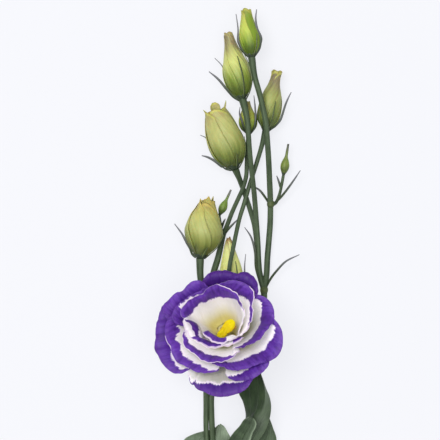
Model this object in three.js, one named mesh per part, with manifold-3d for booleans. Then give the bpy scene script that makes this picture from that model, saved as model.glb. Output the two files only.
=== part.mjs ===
// A cut lisianthus: one open double bloom, nine buds and four leaves on a branching stem.
// Millimetres, +Z up. The stem lies along Y on its side and the bloom faces up.
// The origin is on the surface that the flower lies on, under the middle of its box.
import * as THREE from 'three';
import { mergeVertices } from 'three/addons/utils/BufferGeometryUtils.js';
import Module from 'manifold-3d';

const wasm = await Module();
wasm.setup();

// Driving sizes
const bloomDiameter = 71;
const bloomBaseHeight = 17;
const petalThickness = 0.6;
const leafThickness = 0.7;
const seatGap = 0.4;
const stemRadius = 1.85;
const stalkRadius = 1.35;
const flatDip = 0.3;

// How the photograph is placed: its bloom is 128 pixels across, seen from straight above.
const bloomPixels = 128;
const rimHeight = 30;
const cameraHeight = 1045;
const pixelSize = bloomDiameter / bloomPixels / (1 - rimHeight / cameraHeight);
const photoCentre = [220, 220];
const originPixel = [227.9, 286.9];

// The point seen at a photograph pixel, at a height above the surface.
function place(px, py, height) {
  const size = pixelSize * (1 - height / cameraHeight);
  return new THREE.Vector3(
    (px - photoCentre[0]) * size + (photoCentre[0] - originPixel[0]) * pixelSize,
    (photoCentre[1] - py) * size + (originPixel[1] - photoCentre[1]) * pixelSize,
    height,
  );
}

// The photograph pixel at which a point is seen.
function pixelOf(point) {
  const size = pixelSize * (1 - point.z / cameraHeight);
  return [
    photoCentre[0] + (point.x - (photoCentre[0] - originPixel[0]) * pixelSize) / size,
    photoCentre[1] - (point.y - (originPixel[1] - photoCentre[1]) * pixelSize) / size,
  ];
}

const mix = THREE.MathUtils.lerp;
const clamp = THREE.MathUtils.clamp;
const radians = THREE.MathUtils.degToRad;
const smooth = (value, low, high) => THREE.MathUtils.smoothstep(value, low, high);

// The value at u on the smooth line through a list of [u, value] knots.
function alongKnots(knots, u) {
  let i = 0;
  while (i < knots.length - 2 && u > knots[i + 1][0]) i++;
  const [[u0, a], [u1, b]] = [knots[i], knots[i + 1]];
  const slopeAt = (k) => {
    const before = knots[Math.max(k - 1, 0)];
    const after = knots[Math.min(k + 1, knots.length - 1)];
    return (after[1] - before[1]) / (after[0] - before[0]);
  };
  const span = u1 - u0;
  const t = clamp((u - u0) / span, 0, 1);
  const bend = t * (1 - t) * span * (slopeAt(i) * (1 - t) - slopeAt(i + 1) * t);
  return mix(a, b, t * t * (3 - 2 * t)) + bend;
}

function curveThrough(points) {
  const places = points.map((point) => (point.isVector3 ? point : place(...point)));
  return new THREE.CatmullRomCurve3(places, false, 'centripetal');
}

// Solids

function closedGeometry(corners, faces) {
  const geometry = new THREE.BufferGeometry();
  geometry.setAttribute('position', new THREE.Float32BufferAttribute(corners.flatMap((p) => p.toArray()), 3));
  geometry.setIndex(faces);
  return geometry;
}

// Rings of corners joined into one skin, with both ends closed about their middles.
function loft(rings) {
  const count = rings[0].length;
  const corners = rings.flat();
  const faces = [];
  for (let i = 0; i + 1 < rings.length; i++) {
    for (let j = 0; j < count; j++) {
      const a = i * count + j;
      const b = i * count + ((j + 1) % count);
      faces.push(a, b, b + count, a, b + count, a + count);
    }
  }
  const last = (rings.length - 1) * count;
  for (const [start, flip] of [[0, true], [last, false]]) {
    const middle = new THREE.Vector3();
    for (let j = 0; j < count; j++) middle.addScaledVector(corners[start + j], 1 / count);
    const hub = corners.push(middle) - 1;
    for (let j = 0; j < count; j++) {
      const a = start + j;
      const b = start + ((j + 1) % count);
      faces.push(hub, flip ? b : a, flip ? a : b);
    }
  }
  return closedGeometry(corners, faces);
}

// A section carried along a curve; the section's second axis keeps to the side given by facing.
function sweep(curve, steps, facing, sectionAt) {
  const rings = [];
  for (let i = 0; i <= steps; i++) {
    const u = i / steps;
    const middle = curve.getPoint(u);
    const along = curve.getTangent(u);
    const up = (facing.isVector3 ? facing : facing(middle, u)).clone();
    up.addScaledVector(along, -up.dot(along)).normalize();
    const across = up.clone().cross(along);
    rings.push(sectionAt(u).map(([x, y]) => middle.clone().addScaledVector(across, x).addScaledVector(up, y)));
  }
  return loft(rings);
}

function roundSection(radius, sides) {
  return Array.from({ length: sides }, (_, i) => {
    const turn = (2 * Math.PI * i) / sides;
    return [radius * Math.cos(turn), radius * Math.sin(turn)];
  });
}

const xAxis = new THREE.Vector3(1, 0, 0);
const zAxis = new THREE.Vector3(0, 0, 1);

// A round stalk through points, its radius running along knots of [share of length, radius].
function stalk(points, radii, steps, sides = 6) {
  return sweep(curveThrough(points), steps, xAxis, (u) => roundSection(alongKnots(radii, u), sides));
}

// A narrow keeled leaf, such as a sepal or a bract, widest a little above its root.
function strap(points, width, facing, steps) {
  const keel = 0.5;
  const belly = 0.3;
  const widths = [[0, 0.75], [0.3, 1], [1, 0.28]];
  return sweep(curveThrough(points), steps, facing, (u) => {
    const share = alongKnots(widths, u);
    const depth = mix(1, 0.6, u);
    return [[(width * share) / 2, 0], [0, keel * depth], [(-width * share) / 2, 0], [0, -belly * depth]];
  });
}

// A thin blade: a grid on a surface, thickened to both sides, split alike on both faces.
function blade(surfaceAt, columns, rows, thickness) {
  const step = 1e-3;
  const faces = [];
  const top = [];
  const bottom = [];
  for (let j = 0; j <= rows; j++) {
    for (let i = 0; i <= columns; i++) {
      const s = mix(-1, 1, i / columns);
      const t = j / rows;
      const middle = surfaceAt(s, t);
      const across = surfaceAt(Math.min(s + step, 1), t).sub(surfaceAt(Math.max(s - step, -1), t));
      const along = surfaceAt(s, Math.min(t + step, 1)).sub(surfaceAt(s, Math.max(t - step, 0)));
      const normal = across.cross(along).normalize();
      top.push(middle.clone().addScaledVector(normal, thickness / 2));
      bottom.push(middle.clone().addScaledVector(normal, -thickness / 2));
    }
  }
  const wide = columns + 1;
  const under = top.length;
  const loop = [];
  for (let j = 0; j < rows; j++) {
    for (let i = 0; i < columns; i++) {
      const a = j * wide + i;
      const [b, c, d] = [a + 1, a + wide + 1, a + wide];
      faces.push(a, b, c, a, c, d);
      faces.push(under + a, under + c, under + b, under + a, under + d, under + c);
    }
  }
  for (let i = 0; i < columns; i++) loop.push(i);
  for (let j = 0; j < rows; j++) loop.push(j * wide + columns);
  for (let i = columns; i > 0; i--) loop.push(rows * wide + i);
  for (let j = rows; j > 0; j--) loop.push(j * wide);
  loop.forEach((a, k) => {
    const b = loop[(k + 1) % loop.length];
    faces.push(a, under + b, b, a, under + a, under + b);
  });
  return closedGeometry([...top, ...bottom], faces);
}

// A join leaves out edges shorter than this.
const shortestEdge = 0.01;

function toSolid(geometry) {
  const bare = geometry.clone();
  bare.deleteAttribute('normal');
  bare.deleteAttribute('uv');
  const merged = mergeVertices(bare, 1e-4);
  return new wasm.Manifold(new wasm.Mesh({
    numProp: 3,
    vertProperties: Float32Array.from(merged.attributes.position.array),
    triVerts: Uint32Array.from(merged.index.array),
    tolerance: shortestEdge,
  }));
}

function fromSolid(solid) {
  const { vertProperties, triVerts } = solid.getMesh();
  const geometry = new THREE.BufferGeometry();
  geometry.setAttribute('position', new THREE.BufferAttribute(vertProperties, 3));
  geometry.setIndex(new THREE.BufferAttribute(triVerts, 1));
  return geometry;
}

// One body from several that run into one another, without the specks that a join may leave
function fuse(geometries) {
  const pieces = geometries.map(toSolid).reduce((sum, solid) => sum.add(solid)).decompose();
  return fromSolid(pieces.reduce((most, piece) => (piece.volume() > most.volume() ? piece : most)));
}

// Everything under the surface that the flower lies on
const groundDepth = 20;
const groundSpan = 800;
const ground = new THREE.BoxGeometry(groundSpan, groundSpan, groundDepth);
ground.translate(0, 0, -groundDepth / 2);
const groundSolid = toSolid(ground);

function trimToGround(geometry) {
  return fromSolid(toSolid(geometry).subtract(groundSolid));
}

// The bloom's frame: its base, and an axis that leans to the upper left of the photograph.
const bloomBase = place(226.4, 332, bloomBaseHeight);
const bloomLean = radians(24);
const bloomAxis = new THREE.Vector3(-0.56 * Math.sin(bloomLean), 0.83 * Math.sin(bloomLean), Math.cos(bloomLean));
bloomAxis.normalize();
const bloomRight = new THREE.Vector3(0, 1, 0).cross(bloomAxis).normalize();
const bloomUp = bloomAxis.clone().cross(bloomRight);

function inBloom(turn, radius, height) {
  return bloomBase.clone()
    .addScaledVector(bloomRight, radius * Math.cos(turn))
    .addScaledVector(bloomUp, radius * Math.sin(turn))
    .addScaledVector(bloomAxis, height);
}

// The bloom is a nest of bowls. Layer 0 is the innermost bowl and layer 1 the outermost; each is
// drawn from its seat (share 0) to its rim (share 1) by these [radius, height] control points.
const innerBowl = [[3.8, 4.4], [10.5, 8], [12, 20], [15, 31]];
const outerBowl = [[8.4, 0.2], [19, 1.5], [25, 21], [36, 19]];
const rimSag = 0.2;
const rimDrop = 3;
const downTurn = radians(270);

function bowlPoint(turn, layer, share) {
  const sag = layer * Math.cos(turn - downTurn);
  const reach = smooth(share, 0, 1);
  const bezier = [(1 - share) ** 3, 3 * share * (1 - share) ** 2, 3 * share ** 2 * (1 - share), share ** 3];
  let radius = 0;
  let height = 0;
  bezier.forEach((weight, i) => {
    radius += weight * mix(innerBowl[i][0], outerBowl[i][0], layer);
    height += weight * mix(innerBowl[i][1], outerBowl[i][1], layer);
  });
  return inBloom(turn, radius * (1 + rimSag * sag * reach), height - rimDrop * sag * reach);
}

// The turn and the layer whose rim is seen at a photograph pixel.
function rimAt([px, py]) {
  let turn = Math.atan2(332 - py, px - 218);
  let layer = 0.5;
  const step = 1e-3;
  const seenAt = (a, b) => pixelOf(bowlPoint(a, b, 1));
  for (let round = 0; round < 12; round++) {
    const here = seenAt(turn, layer);
    const byTurn = seenAt(turn + step, layer).map((value, i) => (value - here[i]) / step);
    const byLayer = seenAt(turn, layer + step).map((value, i) => (value - here[i]) / step);
    const miss = [px - here[0], py - here[1]];
    const area = byTurn[0] * byLayer[1] - byTurn[1] * byLayer[0];
    turn += clamp((miss[0] * byLayer[1] - miss[1] * byLayer[0]) / area, -0.5, 0.5);
    layer += clamp((byTurn[0] * miss[1] - byTurn[1] * miss[0]) / area, -0.4, 0.4);
  }
  return [turn, layer];
}

// Petals, from the middle outwards. Each rim is a line of photograph pixels, counterclockwise.
const petalRims = {
  inner_1: [[234, 338.6], [227, 340.6], [219, 340.8], [211, 339.6], [205.6, 335.4], [200.6, 329.5]],
  inner_2: [[242, 314], [240.3, 303.5], [237, 295], [229.5, 289.5], [220, 286.8], [211, 288],
    [202, 294.5], [193, 299], [185.6, 304.6], [182.4, 310.5], [184.6, 316], [188.6, 321.4], [192, 329],
    [195, 334.4], [199.6, 339.2]],
  inner_3: [[180.8, 312.6], [182.6, 319], [185.8, 327], [189.8, 334.8], [195.6, 341.4], [202.6, 345.4],
    [211, 347], [220, 347.4],
    [229, 346], [238, 342.6], [246, 336.8]],
  inner_4: [[235, 339.4], [242.6, 332.8], [248.6, 324], [251.8, 314], [253, 303], [252.8, 293], [248.5, 286],
    [241, 281.8], [232, 279.8], [222, 280.5], [213, 284]],
  middle_1: [[181, 328], [182.6, 336.4], [185.4, 345], [192, 352], [201, 357.6], [212.5, 360.6], [224.7, 360],
    [234, 357], [241, 352.5]],
  middle_2: [[233, 350.4], [246.3, 345], [257.5, 338.9], [267.8, 329.5], [273.4, 320], [274, 311.7],
    [271.4, 302.6], [265.6, 296], [259.6, 291.8], [254.6, 289]],
  middle_3: [[168, 311], [165, 319], [164.2, 330], [166, 340], [170, 347], [172.5, 354], [177, 361],
    [184, 365.2], [190.6, 369], [197.6, 372.8], [207, 374.4], [217, 373.8]],
  middle_4: [[208, 284], [201.6, 289], [192.4, 295.2], [183.6, 301.4], [175.6, 308.4], [171, 315], [169.6, 324]],
  middle_5: [[209, 363], [218, 367], [229.4, 369.4], [243.4, 368.6], [255, 364.5], [265, 360.8],
    [274, 356], [279.5, 349], [282.7, 340], [281.5, 327], [277, 320]],
  outer_1: [[182, 377.4], [186.6, 381], [190.6, 385.8], [193.6, 383.6], [196, 388.5], [203.6, 391.8],
    [213.4, 396], [224.6, 396.6], [236.5, 393.8], [246, 390.8], [253, 386], [258, 380.4]],
  outer_2: [[226, 380.5], [240, 381.5], [249, 379.5], [257, 375.8], [265.2, 369.8], [271, 365.2], [275.8, 360.6]],
  outer_3: [[258.6, 287.4], [254.9, 279.8], [250.9, 275.6], [243.7, 273], [237.5, 274.2], [232, 272.2],
    [224.7, 271], [215, 271.8], [207, 274.4], [200, 277.6]],
  outer_4: [[207, 283.4], [198.7, 280.8], [192.4, 280.8], [187.9, 284.2], [182.6, 290.6], [176.8, 292.2],
    [168.4, 299.6], [164, 304], [162.8, 310]],
  outer_5: [[161, 302.6], [158.8, 311.9], [157.4, 320.4], [155.4, 335], [154, 349.2], [157, 354],
    [158.9, 358], [163.4, 365.3], [172.3, 374], [179, 375], [187, 374]],
};

// A petal keeps to the layer that its rim has at each turn, and narrows to a claw at its seat.
function petalSurface(rimPixels) {
  const rim = rimPixels.map(rimAt);
  for (let i = 1; i < rim.length; i++) {
    while (rim[i][0] < rim[i - 1][0] - Math.PI) rim[i][0] += 2 * Math.PI;
    while (rim[i][0] > rim[i - 1][0] + Math.PI) rim[i][0] -= 2 * Math.PI;
  }
  rim.sort((a, b) => a[0] - b[0]);
  const first = rim[0][0];
  const last = rim.at(-1)[0];
  const layers = new THREE.CatmullRomCurve3(rim.map(([turn, layer]) => new THREE.Vector3(turn, layer, 0)),
    false, 'centripetal');
  const table = layers.getPoints(80);
  const layerAt = (turn) => {
    let i = 1;
    while (i < table.length - 1 && table[i].x < turn) i++;
    const span = Math.max(table[i].x - table[i - 1].x, 1e-6);
    return mix(table[i - 1].y, table[i].y, clamp((turn - table[i - 1].x) / span, 0, 1));
  };
  const clawShare = 0.68;
  const middle = (first + last) / 2;
  const halfWidth = (last - first) / 2;
  return (s, t) => {
    const turn = middle + s * halfWidth * mix(clawShare, 1, smooth(t, 0, 0.7));
    const shoulder = 1 - 0.16 * Math.abs(s) ** 5;
    return bowlPoint(turn, layerAt(turn), t * shoulder);
  };
}

const petalColumns = 12;
const petalRows = 5;
const petals = Object.entries(petalRims).map(([name, rimPixels]) => {
  return [`petal_${name}`, blade(petalSurface(rimPixels), petalColumns, petalRows, petalThickness)];
});

// The green middle and the yellow stigma and stamens, which lean to the lower right of the bloom
const pistilFoot = inBloom(0, 0, 4.6);
const stigmaMiddle = place(225.6, 329.5, 35);
const pistilCurve = new THREE.CatmullRomCurve3([
  pistilFoot,
  pistilFoot.clone().lerp(stigmaMiddle, 0.35),
  pistilFoot.clone().lerp(stigmaMiddle, 0.72),
  stigmaMiddle.clone().addScaledVector(zAxis, -0.8),
], false, 'centripetal');
const ovaryRadii = [[0, 1.4], [0.2, 2.1], [0.45, 1.7], [0.62, 0.8], [1, 0.9]];
const pistil = sweep(pistilCurve, 10, xAxis, (u) => roundSection(alongKnots(ovaryRadii, u), 8));

const lobeLength = 6.4;
const lobeWidth = 5;
const lobeThickness = 1.5;
const lobeDirection = new THREE.Vector3(0.66, 0.75, 0);

function stigmaLobe(side) {
  const out = lobeDirection.clone().multiplyScalar(side);
  const points = [-0.12, 0.3, 0.7, 1].map((share) => stigmaMiddle.clone()
    .addScaledVector(out, share * lobeLength)
    .addScaledVector(zAxis, 0.9 - 1.3 * share * share + 0.4));
  return sweep(curveThrough(points), 5, zAxis, (u) => {
    const half = (lobeWidth / 2) * Math.sin(Math.PI * mix(0.24, 0.86, u));
    return roundSection(1, 8).map(([x, y]) => [x * half, (y * lobeThickness) / 2]);
  });
}

const stigma = fuse([stigmaLobe(1), stigmaLobe(-1)]);

// Stamens stand close round the style, hidden under the stigma: the turn of each foot round the
// bloom's axis, and its tip's place along the lobes and across them.
const lobeAcross = new THREE.Vector3(lobeDirection.y, -lobeDirection.x, 0);
const stamenPlaces = [[10, 2.6, 1.7], [-62, -0.9, 1.95], [-134, -2.9, 0.5], [154, -1.6, -1.6], [82, 1.9, -1.3]];
const stamenFoot = [2.8, 5];
const kneeRadius = 3.1;
const tipDrop = 1.9;
const antherLength = 4;
const stamens = stamenPlaces.map(([degrees, along, across], i) => {
  const turn = radians(degrees);
  const tip = stigmaMiddle.clone().addScaledVector(lobeDirection, along).addScaledVector(lobeAcross, across)
    .addScaledVector(zAxis, -tipDrop);
  const foot = inBloom(turn, ...stamenFoot);
  const knee = pistilFoot.clone().lerp(stigmaMiddle, 0.3).add(inBloom(turn, kneeRadius, 0)).sub(bloomBase);
  const head = tip.clone().addScaledVector(zAxis, -antherLength);
  const curve = new THREE.CatmullRomCurve3([foot, knee, head, tip], false, 'centripetal');
  const radii = [[0, 0.35], [0.62, 0.35], [0.72, 0.75], [0.92, 0.75], [1, 0.4]];
  return [`stamen_${i + 1}`, sweep(curve, 9, xAxis, (u) => roundSection(alongKnots(radii, u), 5))];
});

// Under the bloom: the cone that the petals sit on, its stalk and five sepals
const seatDrop = seatGap + petalThickness / 2;

function receptacle() {
  const profile = [
    [0, -7], [1.9, -7], [2.6, -4.5], [4.6, -2.2], [outerBowl[0][0] + 0.8, outerBowl[0][1] - seatDrop - 1],
    [innerBowl[0][0] - 0.3, innerBowl[0][1] - seatDrop], [0, innerBowl[0][1] - seatDrop],
  ].map(([x, y]) => new THREE.Vector2(x, y));
  const cone = new THREE.LatheGeometry(profile, 14);
  const frame = new THREE.Matrix4().makeBasis(bloomRight, bloomAxis, bloomUp.clone().negate());
  frame.setPosition(bloomBase);
  return cone.applyMatrix4(frame);
}

const bloomStalk = stalk([
  inBloom(0, 0, -3),
  inBloom(0, 0, -8),
  [229.5, 349, 6.6],
  [224, 362, 4.2],
  [217, 378, 3.6],
  [211.9, 396, 3.7],
  [211.8, 415, 3.9],
  [212.6, 440, 4],
  [213, 479, 3.6],
], [[0, 2.1], [0.12, 1.8], [0.3, 1.5], [0.7, 1.4], [1, 1.35]], 18);

const bloomSepals = [0, 1, 2, 3, 4].map((i) => {
  const turn = radians(30 + 72 * i);
  const outside = 1.2;
  const points = [0.02, 0.14, 0.3, 0.46, 0.6].map((share) => bowlPoint(turn, outside, share)
    .addScaledVector(bloomAxis, -1.5));
  points.unshift(inBloom(turn, 3, -1.8));
  return strap(points, 3.4, (point) => bloomBase.clone().addScaledVector(bloomAxis, 26).sub(point), 6);
});

// Buds. Base and tip are photograph pixels with a height, and the half width is in pixels too. A
// profile is a list of [share of length, share of width]; the twist is how far the furled petals
// wind, in turns. A sepal has its place round the bud in degrees (90 faces up), the share of the
// bud's length that it hugs, and the places it passes from there to its tip.
const closedProfile = [[0, 0.3], [0.09, 0.68], [0.21, 0.93], [0.34, 1], [0.48, 0.93], [0.64, 0.7], [0.82, 0.44],
  [1, 0.3]];
const flaredProfile = [[0, 0.3], [0.06, 0.6], [0.14, 0.88], [0.28, 1], [0.43, 0.95], [0.6, 0.78], [0.76, 0.5],
  [0.88, 0.41], [1, 0.46]];
const ripeProfile = [[0, 0.3], [0.08, 0.54], [0.16, 0.76], [0.28, 0.93], [0.44, 1], [0.58, 0.92], [0.74, 0.76],
  [0.88, 0.54], [1, 0.4]];
const openProfile = [[0, 0.3], [0.08, 0.5], [0.16, 0.7], [0.3, 0.93], [0.46, 1], [0.64, 0.92], [0.82, 0.78],
  [1, 0.57]];
const youngProfile = [[0, 0.45], [0.12, 0.86], [0.26, 1], [0.42, 0.72], [0.56, 0.34], [0.75, 0.26], [1, 0.2]];

const buds = {
  bud_top: {
    base: [252, 57.5, 15.6], tip: [246.2, 10, 13.6], halfWidth: 10.3, profile: closedProfile, twist: 0.22,
    sepals: [[85, 0.5], [15, 0.34, [257.2, 28.7, 17], [255.7, 19, 17.4], [256.6, 9.4, 18]],
      [165, 0.34, [238, 28.7, 14], [236, 14, 14]], [235, 0.45], [305, 0.45]],
  },
  bud_upper_left: {
    base: [242.4, 99.5, 10.8], tip: [228.2, 33.6, 8.6], halfWidth: 14.1, profile: closedProfile, twist: 0.25,
    sepals: [[80, 0.58], [20, 0.62], [168, 0.05, [226, 88.4, 13], [218, 79, 13.6], [208.9, 71.6, 14]],
      [215, 0.3, [222.4, 66.6, 5.4], [214.8, 58, 5]], [300, 0.45]],
  },
  bud_upper_right: {
    base: [266.2, 131.5, 6.7], tip: [276.8, 71.4, 7.6], halfWidth: 11.9, profile: flaredProfile, twist: -0.25,
    sepals: [[70, 0.48], [14, 0.2, [285.4, 105, 9], [288, 98.6, 10], [291.3, 92.2, 10.5]], [140, 0.5],
      [232, 0.42], [308, 0.42]],
  },
  bud_left: {
    base: [235.4, 169.5, 10.1], tip: [215.2, 110.5, 10.6], halfWidth: 18.9, profile: openProfile, twist: 0.3,
    sepals: [[84, 0.28], [20, 0.42], [180, 0.03, [221, 169, 12.2], [212, 161.6, 14], [201.7, 155.6, 15]],
      [212, 0.34, [206.4, 138.6, 5], [200.4, 135, 5]], [300, 0.3]],
    points: [[203.9, 110, 12], [212.4, 103, 15], [225.8, 101, 9], [216, 105, 6]],
  },
  bud_small: {
    base: [248.7, 135, 5.8], tip: [247, 101, 5.2], halfWidth: 9.2, profile: closedProfile, twist: 0.2,
    sepals: [[90, 0.5], [44, 0.4, [255, 106, 10], [253.9, 95.4, 9]], [124, 0.35, [239.6, 114, 9.4], [240, 107, 8.6]], [235, 0.4], [305, 0.4]],
  },
  bud_behind: {
    base: [232.5, 300, 6.3], tip: [228.6, 238, 6.4], halfWidth: 11.5, profile: closedProfile, twist: 0.22,
    sepals: [[60, 0.62], [5, 0.3, [244.6, 268, 5.4], [245.7, 254, 5.4]], [160, 0.5], [232, 0.45], [305, 0.45]],
  },
  bud_lower_left: {
    base: [202.6, 258.5, 10], tip: [207.5, 202, 10.6], halfWidth: 19.2, profile: ripeProfile, twist: 0.3,
    sepals: [[80, 0.28], [10, 0.44], [172, 0.03, [189.8, 250.4, 11.6], [182.8, 239.8, 13], [179, 230, 13.4], [174.5, 223.8, 13.4]],
      [232, 0.42], [305, 0.42]],
    points: [[200.4, 199, 13], [208.8, 197, 15], [213.3, 196.5, 11], [206, 199, 8]],
  },
  bud_tiny_left: {
    base: [221, 215.2, 4.2], tip: [230.2, 190.6, 5.4], halfWidth: 4, profile: youngProfile, twist: 0.1,
    sepals: [],
  },
  bud_tiny_right: {
    base: [283.8, 174, 5], tip: [288.2, 145, 6], halfWidth: 4.2, profile: youngProfile, twist: 0.1,
    sepals: [],
  },
};

const budPetals = 5;
const budSides = 15;
const budRings = 9;
const lapDepth = 0.09;

function budFrame(bud) {
  const base = place(...bud.base);
  const tip = place(...bud.tip);
  const axis = tip.clone().sub(base);
  const length = axis.length();
  axis.normalize();
  const front = zAxis.clone().addScaledVector(axis, -axis.z).normalize();
  const side = axis.clone().cross(front);
  const radius = bud.halfWidth * pixelSize;
  return { base, tip, axis, front, side, length, radius };
}

// A point about a bud's axis: turn 0 is its right, 90 degrees faces up.
function aboutBud({ base, axis, front, side, length }, turn, share, radius) {
  return base.clone()
    .addScaledVector(axis, share * length)
    .addScaledVector(side, radius * Math.cos(turn))
    .addScaledVector(front, radius * Math.sin(turn));
}

// Furled petals lap over one another in a slow spiral: each lap is a low step in the outline.
function budBody(bud) {
  const frame = budFrame(bud);
  const rings = [];
  for (let i = 0; i <= budRings; i++) {
    const share = i / budRings;
    const width = frame.radius * alongKnots(bud.profile, share);
    rings.push(Array.from({ length: budSides }, (_, j) => {
      const lap = (j % (budSides / budPetals)) / (budSides / budPetals);
      const turn = -2 * Math.PI * (j / budSides + bud.twist * share);
      return aboutBud(frame, turn, share, width * (1 - lapDepth * lap * smooth(share, 0.05, 0.4)));
    }));
  }
  const pieces = [loft(rings)];
  for (const point of bud.points ?? []) {
    const end = place(...point);
    const root = frame.tip.clone().addScaledVector(frame.axis, -0.3 * frame.length);
    const waist = root.clone().lerp(end, 0.55).addScaledVector(frame.axis, 1);
    pieces.push(sweep(curveThrough([root, waist, end]), 4, zAxis, (u) => {
      const half = alongKnots([[0, 2.6], [0.6, 2.9], [1, 0.5]], u);
      return [[half, 0], [0, 0.45], [-half, 0], [0, -0.45]];
    }));
  }
  return trimToGround(fuse(pieces));
}

// A point outside a bud's skin, lifted square to it.
function overBud(bud, frame, turn, share, lift) {
  const step = 0.02;
  const radiusAt = (value) => frame.radius * alongKnots(bud.profile, Math.max(value, 0));
  const rise = (radiusAt(share + step) - radiusAt(share - step)) / (2 * step * frame.length);
  const steep = Math.hypot(1, rise);
  return aboutBud(frame, turn, share - (lift * rise) / steep / frame.length, radiusAt(share) + lift / steep);
}

// A sepal hugs its bud, and from there may bend away to a tip of its own.
function budSepal(bud, [degrees, hug, ...path]) {
  const frame = budFrame(bud);
  const turn = radians(degrees);
  const lift = 0.95;
  const points = [aboutBud(frame, turn, -0.05, frame.radius * 0.22)];
  for (const part of hug > 0.1 ? [0.12, 0.4, 0.7, 1] : [1]) {
    points.push(overBud(bud, frame, turn, part * hug, lift + (part === 1 ? 0.3 : 0)));
  }
  points.push(...path.map((seen) => place(...seen)));
  const width = frame.length > 25 ? 2.8 : 2.2;
  return strap(points, width, (point) => {
    const foot = point.clone().sub(frame.base);
    return foot.addScaledVector(frame.axis, -foot.dot(frame.axis) - 0.3);
  }, path.length > 0 ? 7 : 5);
}

// The cup that a bud sits in, on the end of its stalk.
function budCup(bud) {
  const frame = budFrame(bud);
  const rim = alongKnots(bud.profile, 0.0) * frame.radius;
  const drop = seatGap;
  const curve = new THREE.LineCurve3(
    aboutBud(frame, 0, 0, 0).addScaledVector(frame.axis, -drop - 2.6),
    aboutBud(frame, 0, 0, 0).addScaledVector(frame.axis, -drop),
  );
  const radii = [[0, 0.45 * rim], [0.6, 0.95 * rim], [1, 1.1 * rim]];
  return sweep(curve, 2, frame.front, (u) => roundSection(Math.max(alongKnots(radii, u), 0.8), 7));
}

// Where a stalk enters the cup under a bud
function budFoot(bud) {
  const frame = budFrame(bud);
  return frame.base.clone().addScaledVector(frame.axis, -seatGap - 1.2);
}

// Stalks, from their joints up to their buds: seen places and heights
const mainNode = [213, 478, 3.6];
const sideNode = [264, 290, 2.9];
const stalks = [
  stalk([mainNode, [211, 508, 2.6], [209.5, 540, stemRadius - flatDip], [208.5, 562, 2]],
    [[0, 2.1], [0.3, stemRadius], [1, stemRadius]], 10, 10),
  stalk([mainNode, [208.4, 456, 4], [206.2, 430, 3.9], [206, 400, 3.6], [205.4, 370, 2.6], [204.4, 340, 2.4],
    [203.6, 312, 3.4], [202.4, 290, 6], [201.4, 274, 8.4], budFoot(buds.bud_lower_left)],
    [[0, stalkRadius], [0.6, stalkRadius], [0.85, 1.7], [1, 2.1]], 16),
  stalk([[203.8, 318, 3], [206.6, 303, 3.2], [210, 288, 3.4], [214, 271, 3.8], [217.3, 260.4, 3],
    [220.6, 247, 2.5], [223.8, 233.6, 2.9], [227.4, 224.6, 3.8], [232.5, 211.3, 4.4], [238.6, 197.9, 5.2],
    [242.6, 189, 5.4], [246.2, 176, 5], [246.8, 162, 4.6], [247.4, 148, 5], budFoot(buds.bud_small)],
    [[0, 1.3], [0.25, 1.7], [0.5, 1.2], [1, 1.15]], 20),
  stalk([[216, 382, 3.6], [218.5, 352, 3.4], [221.4, 328, 4.6], [224, 310, 8], [226.4, 294, 12.4],
    [228.2, 280, 14.9], [229.8, 264.8, 15], [232.5, 251.4, 13], [236, 234, 9.4], [239.6, 218, 6.4],
    [244, 204, 5], [248.6, 188, 4.7], [255.7, 165.9, 4.8], [262, 145, 5.8], budFoot(buds.bud_upper_right)],
    [[0, 1.2], [0.9, 1.2], [1, 1.7]], 24),
  stalk([[218, 372, 3.6], [223, 350, 4.4], [228.6, 325, 5.4], budFoot(buds.bud_behind)],
    [[0, 1.2], [1, 1.4]], 6),
  stalk([mainNode, [232, 455, 3.2], [245, 432, 2.4], [252, 410, 2.1], [256.5, 385, 2], [260, 360, 2],
    [262.6, 335, 2.1], [264, 310, 2.5], sideNode], [[0, 1.7], [1, 1.7]], 13),
  stalk([sideNode, [266.4, 276, 2.9], [267.4, 258, 3.2], [268.9, 240, 3.7], [270.2, 222, 4.6],
    [270.4, 203, 5.6], [269.6, 182, 8], [268.7, 161.4, 11], [267.3, 140, 14.2], [265.6, 122, 16.2],
    [260.6, 98, 17], [254.6, 76, 17.2], budFoot(buds.bud_top)],
    [[0, 1.6], [0.5, 1.5], [0.94, 1.4], [1, 1.7]], 20),
  stalk([sideNode, [260.4, 278, 3.4], [258.6, 260.4, 4.4], [257.8, 242.5, 5], [256.4, 222, 5.6],
    [254.4, 196, 6.8], [252.6, 179, 8], [250, 156, 10.6], [248.6, 138, 13.4], [246.9, 118, 14],
    budFoot(buds.bud_upper_left)],
    [[0, 1.5], [0.9, 1.4], [1, 1.8]], 18),
  stalk([sideNode, [259.4, 270, 2.2], [257.4, 250, 1.7], [254.6, 226, 1.7], [251.4, 212, 1.7],
    [247.8, 199, 2], [244.4, 186, 4], [240.8, 177, 7], budFoot(buds.bud_left)],
    [[0, 1.4], [0.85, 1.4], [1, 2]], 14),
  stalk([[222.6, 237, 3.4], [220.8, 226, 3.2], budFoot(buds.bud_tiny_left)], [[0, 0.8], [1, 0.75]], 4, 6),
  stalk([[270.4, 205, 5.4], [275.4, 203.2, 5.2], [279.4, 194.6, 5], [281.6, 185, 5],
    budFoot(buds.bud_tiny_right)], [[0, 1], [0.3, 0.85], [1, 0.8]], 7, 6),
];

// Swollen joints, where stalks and bracts part
const joints = [[mainNode, 2.5], [sideNode, 2.5], [[270.4, 204, 5.5], 1.9]].map(([seen, radius]) => {
  const ball = new THREE.SphereGeometry(radius, 8, 6);
  const spot = place(...seen);
  return ball.translate(spot.x, spot.y, spot.z);
});

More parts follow.
